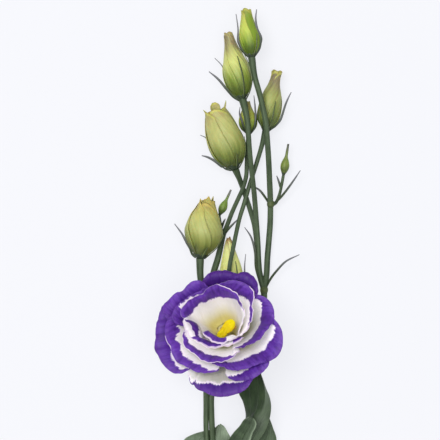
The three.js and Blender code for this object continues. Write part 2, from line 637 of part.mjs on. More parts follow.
// Bracts: thin pointed leaves at the joints, each from its root to its tip
const bracts = [
  [[265, 290, 3], [270.5, 279, 5], [277, 270.5, 6.4], [286, 261.3, 7.4], [299.5, 254.6, 8]],
  [[261.5, 288, 4], [256, 268, 6.6], [255, 252, 7.4], [251, 237, 7.8], [244.6, 227.3, 8.4]],
  [[271, 205, 5.6], [278.5, 199.6, 6.4], [286, 190.9, 6.8], [293.2, 181, 7.2], [300.4, 170.4, 7.6]],
  [[270, 205, 5], [264.6, 196.5, 4.6], [259.3, 190, 4.4], [252.5, 186, 3.6]],
  [[280.9, 189, 5], [279.6, 184, 5.2], [276.7, 175.7, 5.8]],
  [[223.6, 236, 3.8], [228, 229.6, 5], [232.6, 224.6, 5.6], [238, 219, 7]],
  [[221.8, 228, 3.4], [223.2, 223, 4.2], [225.4, 218.6, 4.8]],
].map((points) => strap(points, 1.7, zAxis, 5));

const cups = Object.values(buds).map(budCup);
const sepals = Object.values(buds).flatMap((bud) => bud.sepals.map((sepal) => budSepal(bud, sepal)));
const stem = trimToGround(fuse([
  ...stalks, bloomStalk, receptacle(), ...joints, ...cups, ...sepals, ...bracts, ...bloomSepals,
]));

// Leaves: left edge, midrib and right edge, from the root to the tip, in seen places and heights
const leafLines = {
  leaf_left: {
    left: [[209, 480, 0.6], [194, 466, 2.6], [183, 451, 6], [184.3, 440, 8], [194, 434, 5.5],
      [204, 431, 1.2], [212, 429.4, 1.2], [217.6, 425.6, 3.8]],
    midrib: [[212, 481, 0.6], [210.4, 470, 0.6], [209.6, 458, 0.7], [210, 448, 0.7], [211.4, 439, 0.8],
      [215, 431.6, 1.2], [218.8, 425.2, 4.2]],
    right: [[215, 480, 0.6], [220.4, 466, 0.8], [227, 450, 4.4], [231, 439, 8.4], [227.5, 431.5, 10],
      [224.4, 426.6, 8.4], [220.6, 423.8, 5.4]],
  },
  leaf_right_upper: {
    left: [[231.8, 456.4, 5.3], [238, 444, 8], [243.5, 428, 8], [246.3, 416, 7], [243, 402, 5.5], [238.6, 393, 5],
      [240, 378, 5.4], [252, 362, 7]],
    midrib: [[233.4, 457, 5.2], [243, 443, 10], [248.6, 428, 14], [253.6, 417.5, 16], [260.8, 408.5, 16],
      [264, 394, 14.5], [262.6, 380, 12], [256, 364, 8]],
    right: [[235, 457.6, 4.7], [250, 449, 9], [260.5, 438, 13], [267.6, 425, 14], [270.6, 410, 12],
      [269.6, 398, 9.5], [264.6, 384, 8.6], [259, 366, 7.6]],
  },
  leaf_right_front: {
    left: [[216.4, 474.6, 5.9], [221, 458, 9], [228.5, 440, 13], [234, 432, 16], [239.8, 425.7, 19],
      [244, 419.6, 21.5], [249, 416.6, 22]],
    midrib: [[217.8, 476, 5.5], [231, 459, 10.5], [239.6, 444, 15], [244, 435, 18], [248, 427.4, 20.6],
      [250.4, 421.4, 22.4], [251.4, 417.6, 22.6]],
    right: [[218.8, 477.8, 4.8], [238, 465, 12], [248.6, 444, 19.5], [252.8, 432.4, 22.4], [255.6, 427.6, 23.6],
      [256.4, 423, 24], [254, 418.6, 23.4]],
  },
  leaf_right_back: {
    left: [[217.4, 478.4, 2.6], [236, 462, 4.6], [248, 450, 6.8], [257, 440, 8.6], [263.4, 428, 9.4],
      [265.6, 417, 9.6]],
    midrib: [[217.1, 480.2, 2.1], [239, 467, 2.6], [254, 456, 3.6], [264, 444, 5], [268.8, 430, 7.4],
      [267.4, 415.8, 9.4]],
    right: [[216.9, 482, 1.7], [244, 474, 1.2], [264, 464, 1.2], [276.4, 442, 3.6], [272.8, 427, 7],
      [269, 416.4, 9]],
  },
};

// A leaf's surface curves from its midrib out to its two edges.
function leafSurface({ left, midrib, right }) {
  const [leftEdge, middle, rightEdge] = [left, midrib, right].map(curveThrough);
  return (s, t) => middle.getPoint(t).lerp((s < 0 ? leftEdge : rightEdge).getPoint(t), Math.abs(s) ** 1.4);
}

const leafColumns = 6;
const leafRows = 10;
const leaves = Object.entries(leafLines).map(([name, lines]) => {
  return [name, blade(leafSurface(lines), leafColumns, leafRows, leafThickness)];
});

// The group of named meshes
const colours = {
  stem: 0x50594a,
  petal: 0x63339a,
  bud: 0xb9bd72,
  leaf: 0x4a5a44,
  pistil: 0x9fae52,
  stigma: 0xd8c410,
  stamen: 0xd9b21c,
};

const flower = new THREE.Group();

function addPiece(name, geometry, kind) {
  const material = new THREE.MeshStandardMaterial({ color: colours[kind], roughness: 0.6, metalness: 0 });
  const mesh = new THREE.Mesh(geometry, material);
  mesh.name = name;
  flower.add(mesh);
}

addPiece('stem', stem, 'stem');
petals.forEach(([name, geometry]) => addPiece(name, geometry, 'petal'));
addPiece('pistil', pistil, 'pistil');
addPiece('stigma', stigma, 'stigma');
stamens.forEach(([name, geometry]) => addPiece(name, geometry, 'stamen'));
Object.entries(buds).forEach(([name, bud]) => addPiece(name, budBody(bud), 'bud'));
leaves.forEach(([name, geometry]) => addPiece(name, geometry, 'leaf'));

export default flower;
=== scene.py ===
import math

import bpy
import numpy as np
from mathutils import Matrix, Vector


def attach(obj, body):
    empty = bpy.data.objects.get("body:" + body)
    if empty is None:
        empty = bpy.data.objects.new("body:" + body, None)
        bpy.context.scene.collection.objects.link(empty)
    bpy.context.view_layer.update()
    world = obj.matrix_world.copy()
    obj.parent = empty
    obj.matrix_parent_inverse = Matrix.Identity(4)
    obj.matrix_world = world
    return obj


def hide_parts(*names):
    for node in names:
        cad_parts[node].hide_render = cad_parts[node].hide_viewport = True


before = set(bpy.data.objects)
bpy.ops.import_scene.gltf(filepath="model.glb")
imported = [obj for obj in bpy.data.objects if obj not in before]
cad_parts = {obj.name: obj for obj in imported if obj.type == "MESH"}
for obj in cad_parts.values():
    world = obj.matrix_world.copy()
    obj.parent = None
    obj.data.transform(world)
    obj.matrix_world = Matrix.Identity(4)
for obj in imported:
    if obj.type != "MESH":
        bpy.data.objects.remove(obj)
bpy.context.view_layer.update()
print("frame loaded")

# Sizes are in millimetres up to the moment a mesh is made; the scene itself is in metres.
millimetre = 0.001

# How the photograph lies over the part: 128 of its pixels are the width of the bloom.
seen = {
    "bloomWidth": 71, "bloomPixels": 128, "rimHeight": 30, "cameraHeight": 1045,
    "middle": 220, "frameWidth": 440, "originPixel": (227.9, 286.9),
}
pixelSize = seen["bloomWidth"] / seen["bloomPixels"] / (1 - seen["rimHeight"] / seen["cameraHeight"])
shiftX = (seen["middle"] - seen["originPixel"][0]) * pixelSize
shiftY = (seen["originPixel"][1] - seen["middle"]) * pixelSize


def place(px, py, height):
    size = pixelSize * (1 - height / seen["cameraHeight"])
    return np.array([(px - seen["middle"]) * size + shiftX, (seen["middle"] - py) * size + shiftY, height])


def pixelOf(point):
    size = pixelSize * (1 - point[2] / seen["cameraHeight"])
    return np.array([seen["middle"] + (point[0] - shiftX) / size, seen["middle"] - (point[1] - shiftY) / size])


def places(points):
    return np.array([place(*p) if isinstance(p, (tuple, list)) else p for p in points], float)


def smoothStep(value, low, high):
    x = np.clip((value - low) / (high - low), 0, 1)
    return x * x * (3 - 2 * x)


def unit(v):
    v = np.asarray(v, float)
    return v / np.maximum(np.linalg.norm(v, axis=-1, keepdims=True), 1e-12)


# A smooth line through points, read at shares of its length from 0 to 1
def smoothLine(points, shares):
    p = np.array(points, float)
    ends = np.vstack([2 * p[0] - p[1], p, 2 * p[-1] - p[-2]])
    where = np.clip(np.atleast_1d(shares), 0, 1) * (len(p) - 1)
    i = np.minimum(where.astype(int), len(p) - 2)
    w = (where - i)[:, None]
    a, b, c, d = (ends[i + k] for k in range(4))
    ab, bc, cd = (np.sqrt(np.linalg.norm(q - r, axis=1))[:, None] + 1e-9 for q, r in ((b, a), (c, b), (d, c)))
    out = ((b - a) / ab - (c - a) / (ab + bc) + (c - b) / bc) * bc
    into = ((c - b) / bc - (d - b) / (bc + cd) + (d - c) / cd) * bc
    return b + out * w + (3 * (c - b) - 2 * out - into) * w ** 2 + (2 * (b - c) + out + into) * w ** 3


# The value at u on the smooth line through (u, value) knots
def alongKnots(knots, u):
    k = np.array(knots, float)
    slopes = np.empty(len(k))
    slopes[1:-1] = (k[2:, 1] - k[:-2, 1]) / (k[2:, 0] - k[:-2, 0])
    slopes[0] = (k[1, 1] - k[0, 1]) / (k[1, 0] - k[0, 0])
    slopes[-1] = (k[-1, 1] - k[-2, 1]) / (k[-1, 0] - k[-2, 0])
    u = np.asarray(u, float)
    i = np.clip(np.searchsorted(k[:, 0], u, side="left") - 1, 0, len(k) - 2)
    span = k[i + 1, 0] - k[i, 0]
    t = np.clip((u - k[i, 0]) / span, 0, 1)
    bend = t * (1 - t) * span * (slopes[i] * (1 - t) - slopes[i + 1] * t)
    return k[i, 1] + (k[i + 1, 1] - k[i, 1]) * t * t * (3 - 2 * t) + bend


# Materials


def tone(code):
    channels = [int(code[i:i + 2], 16) / 255 for i in (0, 2, 4)]
    return tuple(c / 12.92 if c <= 0.04045 else ((c + 0.055) / 1.055) ** 2.4 for c in channels) + (1.0,)


def addNode(tree, kind, inputs=None, **settings):
    node = tree.nodes.new(kind)
    for key, value in settings.items():
        setattr(node, key, value)
    for key, value in (inputs or {}).items():
        if isinstance(value, bpy.types.NodeSocket):
            tree.links.new(value, node.inputs[key])
        else:
            node.inputs[key].default_value = value
    return node


def calculate(tree, operation, a, b=0.0, clamp=False):
    return addNode(tree, "ShaderNodeMath", {0: a, 1: b}, operation=operation, use_clamp=clamp).outputs[0]


def remap(tree, value, low, high, toLow=0.0, toHigh=1.0):
    inputs = {0: value, 1: low, 2: high, 3: toLow, 4: toHigh}
    return addNode(tree, "ShaderNodeMapRange", inputs, interpolation_type="SMOOTHSTEP").outputs[0]


def mixColour(tree, share, a, b, blend="MIX"):
    inputs = {0: share, 6: a, 7: b}
    return addNode(tree, "ShaderNodeMix", inputs, data_type="RGBA", blend_type=blend).outputs[2]


def readAttribute(tree, name):
    source = addNode(tree, "ShaderNodeAttribute", attribute_name=name)
    return addNode(tree, "ShaderNodeSeparateXYZ", {0: source.outputs["Vector"]}).outputs


def makeGroup(name, inputs, outputs):
    group = bpy.data.node_groups.new(name, "ShaderNodeTree")
    for label, value in inputs:
        socket = group.interface.new_socket(label, in_out="INPUT", socket_type="NodeSocketFloat")
        socket.default_value = value
    for label in outputs:
        group.interface.new_socket(label, in_out="OUTPUT", socket_type="NodeSocketFloat")
    start = group.nodes.new("NodeGroupInput")
    end = group.nodes.new("NodeGroupOutput")
    return group, start.outputs, end.inputs


# Fine lines that run along a piece: lighter and darker fibres, from 0 to 1
def makeFibres():
    group, given, result = makeGroup("fibres", [("Across", 0.0), ("Along", 0.0), ("Seed", 0.0), ("Fineness", 1.0),
                                                ("Stretch", 0.12)], ["Mask", "Coarse"])
    wide = calculate(group, "MULTIPLY", given["Across"], given["Fineness"])
    long = calculate(group, "MULTIPLY", calculate(group, "MULTIPLY", given["Along"], given["Fineness"]),
                     given["Stretch"])
    spot = addNode(group, "ShaderNodeCombineXYZ", {0: wide, 1: long, 2: given["Seed"]}).outputs[0]
    fine = addNode(group, "ShaderNodeTexNoise", {"Vector": spot, "Scale": 1.6, "Detail": 3.0, "Roughness": 0.62})
    coarse = addNode(group, "ShaderNodeTexNoise", {"Vector": spot, "Scale": 0.45, "Detail": 2.0, "Roughness": 0.5})
    group.links.new(remap(group, fine.outputs[0], 0.3, 0.7), result["Mask"])
    group.links.new(remap(group, coarse.outputs[0], 0.32, 0.68), result["Coarse"])
    return group


# Soft blotches of a living skin and its finest grain, by place on the part
def makeMottle():
    group, given, result = makeGroup("mottle", [("Size", 4.0)], ["Mask", "Grain"])
    where = addNode(group, "ShaderNodeTexCoord").outputs["Object"]
    often = calculate(group, "DIVIDE", 1000.0, given["Size"])
    blotch = addNode(group, "ShaderNodeTexNoise", {"Vector": where, "Scale": often, "Detail": 2.5})
    grain = addNode(group, "ShaderNodeTexNoise", {"Vector": where, "Scale": 3200.0, "Detail": 2.0})
    group.links.new(remap(group, blotch.outputs[0], 0.3, 0.7), result["Mask"])
    group.links.new(grain.outputs[0], result["Grain"])
    return group


fibres = makeFibres()
mottle = makeMottle()


def useGroup(tree, group, inputs):
    return addNode(tree, "ShaderNodeGroup", inputs, node_tree=group).outputs


def newMaterial(name, fixed):
    material = bpy.data.materials.new(name)
    material.use_nodes = True
    tree = material.node_tree
    shader = tree.nodes["Principled BSDF"]
    for label, value in fixed.items():
        shader.inputs[label].default_value = value
    return material, tree, shader


def relief(tree, shader, height, depth):
    bump = addNode(tree, "ShaderNodeBump", {"Height": height, "Distance": depth * millimetre, "Strength": 1.0})
    tree.links.new(bump.outputs[0], shader.inputs["Normal"])


# Meshes


def makeObject(name, corners, faces, material, flat=(), values=None):
    mesh = bpy.data.meshes.new(name)
    corners = np.array(corners, float)
    corners[:, 2] = np.maximum(corners[:, 2], 0)
    mesh.from_pydata((corners * millimetre).tolist(), [], [tuple(f) for f in faces])
    smooth = np.ones(len(mesh.polygons), bool)
    if len(flat):
        smooth[np.asarray(flat)] = False
    mesh.polygons.foreach_set("use_smooth", smooth)
    for label, data in (values or {}).items():
        layer = mesh.attributes.new(label, "FLOAT_VECTOR", "POINT")
        layer.data.foreach_set("vector", np.asarray(data, np.float32).ravel())
    mesh.materials.append(material)
    mesh.validate()
    piece = bpy.data.objects.new(name, mesh)
    bpy.context.scene.collection.objects.link(piece)
    return piece


# Several closed shapes, each (corners, faces, flat faces, values), put together as one
def gather(shapes):
    corners, faces, flat, values = [], [], [], {}
    count = 0
    done = 0
    for shape in shapes:
        corners.append(shape[0])
        faces.extend([tuple(c + count for c in f) for f in shape[1]])
        flat.extend([f + done for f in shape[2]])
        for label, data in shape[3].items():
            values.setdefault(label, []).append(data)
        count += len(shape[0])
        done += len(shape[1])
    return np.vstack(corners), faces, flat, {label: np.vstack(data) for label, data in values.items()}


def finishPiece(piece, slotName, *nodes):
    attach(piece, "root")
    if nodes:
        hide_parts(*nodes)


def gridFaces(columns, rows, start=0):
    i, j = np.meshgrid(np.arange(columns), np.arange(rows))
    a = (start + j * (columns + 1) + i).ravel()
    return np.stack([a, a + 1, a + columns + 2, a + columns + 1], 1)


# A thin closed sheet about a grid of points [row, column]; the first face looks along across x along
def thinSheet(points, thickness, values):
    rows, columns = points.shape[0] - 1, points.shape[1] - 1
    along, across = np.gradient(points, axis=(0, 1))
    normal = unit(np.cross(across, along))
    half = (np.broadcast_to(thickness, points.shape[:2]) / 2)[..., None]
    corners = np.vstack([(points + normal * half).reshape(-1, 3), (points - normal * half).reshape(-1, 3)])
    under = (rows + 1) * (columns + 1)
    front = gridFaces(columns, rows)
    back = gridFaces(columns, rows, under)[:, ::-1]
    wide = columns + 1
    loop = [*range(columns), *(j * wide + columns for j in range(rows)),
            *(rows * wide + i for i in range(columns, 0, -1)), *(j * wide for j in range(rows, 0, -1))]
    after = loop[1:] + loop[:1]
    strip = [(a, under + a, under + b, b) for a, b in zip(loop, after)]
    faces = [tuple(f) for f in front.tolist()] + [tuple(f) for f in back.tolist()] + strip
    flat = range(len(front) + len(back), len(faces))
    doubled = {}
    for label, data in values.items():
        both = np.vstack([data.reshape(-1, 3)] * 2)
        doubled[label] = both
    if "sheetSideAndPaintedGlow" in doubled:
        doubled["sheetSideAndPaintedGlow"][:under, 0] = 1
    return corners, faces, flat, doubled


# Rings of corners [ring, corner] joined into one skin, closed at both ends by a fan
def skin(rings, values=None):
    count, sides = rings.shape[:2]
    corners = np.vstack([rings.reshape(-1, 3), rings[0].mean(0), rings[-1].mean(0)])
    faces = []
    for i in range(count - 1):
        for j in range(sides):
            a, b = i * sides + j, i * sides + (j + 1) % sides
            faces.append((a, b, b + sides, a + sides))
    last = (count - 1) * sides
    for j in range(sides):
        k = (j + 1) % sides
        faces.append((count * sides, k, j))
        faces.append((count * sides + 1, last + j, last + k))
    kept = {}
    for label, data in (values or {}).items():
        kept[label] = np.vstack([data.reshape(-1, 3), data[0].mean(0), data[-1].mean(0)])
    return corners, faces, [], kept


# A section carried along a line; its second axis keeps to the side given by facing
def sweep(points, steps, facing, sectionAt, seed=0.0):
    shares = np.linspace(0, 1, steps + 1)
    middle = smoothLine(points, shares)
    along = unit(smoothLine(points, np.minimum(shares + 1e-3, 1)) - smoothLine(points, np.maximum(shares - 1e-3, 0)))
    walked = np.concatenate([[0], np.cumsum(np.linalg.norm(np.diff(middle, axis=0), axis=1))])
    rings, values = [], []
    for u, spot, way, far in zip(shares, middle, along, walked):
        up = np.array(facing(spot) if callable(facing) else facing, float)
        up = unit(up - way * up.dot(way))
        side = np.cross(up, way)
        section = np.asarray(sectionAt(u), float)
        rings.append(spot + section[:, :1] * side + section[:, 1:2] * up)
        around = section[:, 0] / max(np.abs(section[:, 0]).max(), 1e-6)
        values.append(np.stack([around, np.full(len(section), far), np.full(len(section), u)], 1))
    values = np.array(values)
    return skin(np.array(rings), {"stripPlace": values, "stripSeed": np.full(values.shape, seed)})


def ringOf(radius, sides):
    turn = 2 * np.pi * np.arange(sides) / sides
    return np.stack([radius * np.cos(turn), radius * np.sin(turn)], 1)


def turned(middle, axis, profile, sides, lobes=0, lobeDepth=0.0, seed=0.0, pale=0.3):
    axis = unit(axis)
    side = unit(np.cross(axis, (0.3, 0.2, 1)))
    other = np.cross(axis, side)
    turn = 2 * np.pi * np.arange(sides) / sides
    swell = 1 + lobeDepth * np.cos(lobes * turn)
    rings = np.array([middle + axis * h + (r * swell)[:, None] * (np.cos(turn)[:, None] * side
                      + np.sin(turn)[:, None] * other) for r, h in profile])
    u = np.linspace(0, 1, len(profile))
    values = np.stack([np.stack([np.full(sides, pale), np.full(sides, h * 8), np.full(sides, h * 0.7)], 1) for h in u])
    return skin(rings, {"stripPlace": values, "stripSeed": np.full(values.shape, seed)})


# The bloom: a nest of bowls round an axis that leans to the upper left
bloom = {
    "base": (226.4, 332, 17), "lean": 24, "leanWay": (-0.56, 0.83),
    "innerBowl": [(3.8, 4.4), (10.5, 8), (12, 20), (15, 31)],  # radius and height, from seat to rim
    "outerBowl": [(8.4, 0.2), (19, 1.5), (25, 21), (36, 19)],
    "rimSag": 0.2, "rimDrop": 3,
    "columns": 110, "rows": 64,
    "thickness": 0.42, "rimThickness": 0.16,
    "rootWidth": 0.68, "broadWave": 0.55, "fineWave": 0.22, "rollWidth": 2.2, "tuckWidth": 4.5,
    "seed": 11,
}
lean = math.radians(bloom["lean"])
bloomBase = place(*bloom["base"])
bloomAxis = unit([bloom["leanWay"][0] * math.sin(lean), bloom["leanWay"][1] * math.sin(lean), math.cos(lean)])
bloomRight = unit(np.cross((0, 1, 0), bloomAxis))
bloomUp = np.cross(bloomAxis, bloomRight)


def inBloom(turn, radius, height):
    turn, radius, height = np.broadcast_arrays(turn, radius, height)
    return (bloomBase + (radius * np.cos(turn))[..., None] * bloomRight
            + (radius * np.sin(turn))[..., None] * bloomUp + height[..., None] * bloomAxis)


def bowlPoint(turn, layer, share):
    sag = layer * np.cos(turn - math.radians(270))
    reach = smoothStep(share, 0, 1)
    weights = [(1 - share) ** 3, 3 * share * (1 - share) ** 2, 3 * share ** 2 * (1 - share), share ** 3]
    radius = 0
    height = 0
    for weight, near, far in zip(weights, bloom["innerBowl"], bloom["outerBowl"]):
        radius = radius + weight * (near[0] + (far[0] - near[0]) * layer)
        height = height + weight * (near[1] + (far[1] - near[1]) * layer)
    return inBloom(turn, radius * (1 + bloom["rimSag"] * sag * reach), height - bloom["rimDrop"] * sag * reach)


# The turn and the layer whose rim is seen at a pixel
def rimAt(spot):
    turn = math.atan2(332 - spot[1], spot[0] - 218)
    layer = 0.5
    step = 1e-3
    for _ in range(12):
        here = pixelOf(bowlPoint(turn, layer, 1.0))
        byTurn = (pixelOf(bowlPoint(turn + step, layer, 1.0)) - here) / step
        byLayer = (pixelOf(bowlPoint(turn, layer + step, 1.0)) - here) / step
        miss = np.array(spot) - here
        area = byTurn[0] * byLayer[1] - byTurn[1] * byLayer[0]
        turn += np.clip((miss[0] * byLayer[1] - miss[1] * byLayer[0]) / area, -0.5, 0.5)
        layer += np.clip((byTurn[0] * miss[1] - byTurn[1] * miss[0]) / area, -0.4, 0.4)
    return turn, layer


# Each petal's rim as pixels counterclockwise, the line where its white ends as (across, share of its
# height), how wide its pale edge is across it (partly the pale underside where the rim rolls out, partly a
# painted highlight along the rim) and how far its rim rolls out, both in millimetres, how much purple its
# outside has, how much painted shade darkens its colours, and how much painted glow lights its folds.
petals = {
    "inner_1": {
        "rim": [(238.4, 336.2), (234, 338.2), (227, 340.4), (219, 340.4), (211, 338.6), (205.2, 334.4),
                (200.2, 328.9)],
        "white": [(-1, 1), (-0.86, 0.76), (-0.62, 0.52), (-0.25, 0.3), (0.08, 0.3), (0.31, 0.52), (0.45, 0.8),
                  (0.55, 1.02), (1, 1.05)],
        "edge": [(-1, 0.4), (-0.5, 1), (0.3, 1.1), (1, 1.1)], "back": 0.02, "roll": 1.0, "tuck": 2.0, "paintedShade": 0,
        "root": 0.98,
    },
    "inner_2": {
        "rim": [(237.6, 333.4), (240.6, 327), (242.2, 320), (242, 313), (240.3, 303.5), (237, 295), (229.5, 289.5),
                (220, 286.8), (211, 288),
                (202, 294.5), (193, 299), (185.6, 304.6), (182.4, 310.5), (184.6, 316), (188.6, 321.4), (192, 329),
                (195, 334.4), (199.6, 339.2)],
        "white": [(-1, 1.02), (-0.68, 1.02), (-0.5, 0.92), (-0.31, 0.74), (-0.16, 0.67), (0.08, 0.76), (0.22, 0.8),
                  (0.33, 0.77), (0.42, 0.74), (0.48, 0.78), (0.53, 0.9), (0.555, 1.03), (0.575, 1.03), (0.6, 0.87),
                  (0.67, 0.83), (0.75, 0.85), (0.84, 0.9), (0.94, 0.96), (1, 1)],
        "edge": [(-1, -0.3), (-0.68, 0.2), (-0.5, 0.45), (-0.26, 0.6), (-0.13, 0.4), (-0.07, -0.3), (1, -0.3)],
        "back": 0.1, "roll": 0.8, "paintedShade": [(-1, 0), (0.56, 0), (0.6, 0.95), (1, 0.95)],
        "tuck": [(-1, 0), (0.54, 0), (0.68, 1.3), (1, 1.3)], "root": 0.88,
    },
    "inner_3": {
        "rim": [(180.8, 312.6), (182.6, 319), (185.8, 327), (189.8, 334.8), (196, 340.6), (203, 344),
                (211.5, 345.2), (220.4, 345.6), (229.4, 344.6), (238.4, 341.4), (246, 336.8)],
        "white": [(-1, 1.04), (-0.38, 1.03), (-0.3, 0.9), (-0.1, 0.72), (0.1, 0.66), (0.3, 0.74), (0.42, 0.88),
                  (0.5, 1.02), (0.7, 1.02), (0.78, 0.78), (0.92, 0.72), (1, 0.9)],
        "edge": [(-1, 0.4), (-0.4, 0.6), (-0.2, 0.9), (0.1, 1.2), (0.7, 1.3), (1, 1.2)], "back": 0.05, "roll": 0.8,
        "tuck": 1.3, "paintedShade": 0, "root": 0.85,
    },
    "inner_4": {
        "rim": [(235, 339.4), (242.6, 332.8), (248.6, 324), (251.8, 314), (253, 303), (252.8, 293), (248.5, 286),
                (241, 281.8), (232, 279.8), (222, 280.5), (213, 284)],
        "white": [(-1, 1), (-0.75, 0.99), (-0.5, 0.94), (-0.3, 0.9), (0, 0.88), (0.12, 0.78), (0.4, 0.64), (1, 0.6)],
        "edge": [(-1, 0.6), (-0.1, 0.5), (0.1, 0.7), (0.28, 0.5), (0.36, -0.3), (1, -0.3)], "back": 0.15,
        "roll": 0.6, "paintedShade": 0, "paintedGlow": 0.3, "root": 0.95,
    },
    "middle_1": {
        "rim": [(181, 328), (182.6, 336.4), (185.4, 345), (192, 352), (201, 357.6), (212.5, 360.6), (224.7, 360),
                (234, 357), (241, 352.5)],
        "white": [(-1, 0.99), (-0.82, 0.95), (-0.5, 0.84), (-0.22, 0.8), (-0.05, 0.79), (0.28, 0.74), (0.93, 1)],
        "edge": [(-1, 0.2), (0, 0.3), (1, 0.3)], "back": 0.1, "roll": 0.9, "paintedShade": 0.05, "paintedGlow": 0.24,
    },
    "middle_2": {
        "rim": [(233, 350.4), (246.3, 345), (257.5, 338.9), (267.8, 329.5), (273.4, 320), (274, 311.7),
                (271.4, 302.6), (265.6, 296), (259.6, 291.8), (254.6, 289)],
        "white": [(-1, 1), (-0.6, 0.85), (-0.25, 0.71), (0.35, 0.63), (0.68, 0.83), (1, 0.9)],
        "edge": [(-1, -0.3), (1, -0.3)], "back": 0.8, "roll": 0.5, "paintedShade": 0.25, "paintedGlow": 0.2,
    },
    "middle_3": {
        "rim": [(168, 311), (165, 319), (164.2, 330), (166, 340), (170, 347), (172.5, 354), (177, 361),
                (184, 365.2), (190.6, 369), (197.6, 372.8), (207, 374.4), (217, 373.8)],
        "white": [(-1, 0.88), (-0.8, 0.78), (-0.57, 0.69), (-0.38, 0.8), (-0.1, 0.8), (0.35, 0.83), (0.6, 0.83),
                  (0.85, 0.95)], "back": 0.9, "roll": 0.5, "paintedShade": 0.05,
        "edge": [(-1, -0.3), (-0.55, -0.3), (-0.45, 0.3), (-0.2, 0.4), (-0.1, -0.3), (1, -0.3)],
    },
    "middle_4": {
        "rim": [(208, 284), (201.6, 289), (192.4, 295.2), (183.6, 301.4), (175.6, 308.4), (171, 315), (169.6, 324)],
        "white": [(-1, 0.8), (-0.7, 0.88), (-0.5, 0.94), (0, 0.95), (0.3, 0.96), (0.42, 0.97), (0.48, 0.75), (1, 0.5)],
        "edge": [(-1, -0.3), (1, -0.3)], "back": 0.9, "roll": 0.5, "paintedShade": 0,
    },
    "middle_5": {
        "rim": [(209, 363), (218, 367), (229.4, 369.4), (243.4, 368.6), (255, 365), (266.5, 362.2),
                (276.2, 356.8), (281.8, 348.6), (283.4, 340), (282.6, 327), (279, 319.6), (272.6, 312.4)],
        "white": [(-1, 0.95), (-0.77, 0.83), (-0.32, 0.74), (0.02, 0.73), (0.42, 0.74), (0.58, 0.84),
                  (0.77, 0.9), (0.86, 0.86), (1, 0.8)],
        "edge": [(-1, -0.3), (1, -0.3)], "back": 1.0, "roll": 0.5, "paintedShade": 0.12, "paintedGlow": 0.16,
    },
    "outer_1": {
        "rim": [(182, 377.4), (186.6, 381), (190.6, 385.8), (193.6, 383.6), (196, 388.5), (203.6, 391.8),
                (213.4, 396), (224.6, 396.6), (236.5, 393.8), (246, 390.8), (253, 386), (258, 380.4)],
        "white": [(-1, 1), (-0.78, 0.98), (-0.3, 0.83), (0.25, 0.78), (0.73, 0.88), (1, 0.95)],
        "edge": [(-1, -0.3), (1, -0.3)], "back": 1.0, "roll": 0.5, "paintedShade": 0.8, "paintedGlow": 0.06,
    },
    "outer_2": {
        "rim": [(226, 380.5), (240, 381.5), (249, 379.5), (257, 375.8), (265.2, 369.8), (271, 365.2), (275.8, 360.6)],
        "white": [(-1, 0.98), (-0.6, 0.9), (-0.2, 0.83), (0.35, 0.74), (1, 0.65)],
        "edge": [(-1, -0.3), (1, -0.3)], "back": 1.0, "roll": 0.5, "paintedShade": 0.35,
    },
    "outer_3": {
        "rim": [(261, 291.6), (259.8, 286.4), (256.2, 278.6), (251.4, 274.6), (243.7, 272), (237.5, 273.2),
                (232, 271), (224.7, 269.6), (214.8, 270.4), (206.4, 273.2), (199.4, 276.6)],
        "white": [(-1, 0.5), (1, 0.5)], "edge": [(-1, -0.3), (1, -0.3)], "back": 1.0, "roll": 0.5, "paintedShade": 0.95,
    },
    "outer_4": {
        "rim": [(207, 283.4), (198.7, 280.8), (192.4, 280.8), (187.9, 284.2), (182.6, 290.6), (176.8, 292.2),
                (168, 299), (163.2, 303.6), (161, 311), (160.4, 319)],
        "white": [(-1, 0.5), (1, 0.5)], "edge": [(-1, -0.3), (1, -0.3)], "back": 1.0, "roll": 0.5, "paintedShade": 0,
    },
    "outer_5": {
        "rim": [(168, 295.6), (161, 303), (158.4, 311.9), (157, 320.4), (155.2, 335), (154, 349.2), (157, 354),
                (158.9, 358), (163.4, 365.3), (172.3, 374), (179, 375), (187, 374)],
        "white": [(-1, 0.5), (0.15, 0.55), (0.28, 0.77), (0.39, 0.82), (0.58, 0.84), (0.91, 0.92), (1, 0.95)],
        "edge": [(-1, -0.3), (1, -0.3)], "back": 1.0, "roll": 0.5, "paintedShade": 0.42,
    },
}

petalColours = {
    "throat": tone("cfc27a"), "cream": tone("e9e5d6"), "white": tone("f7f4f5"), "blush": tone("f5e6f8"),
    # paintedShade is the grey that painted shade mixes into the pale colours
    "paintedShade": tone("aaa79c"), "none": (0, 0, 0, 1),
    "purple": tone("5c2a9a"), "deep": tone("3c146e"), "bright": tone("7443b6"), "edge": tone("e8d4ea"),
    "outsideGreen": tone("cdd6b0"),
}


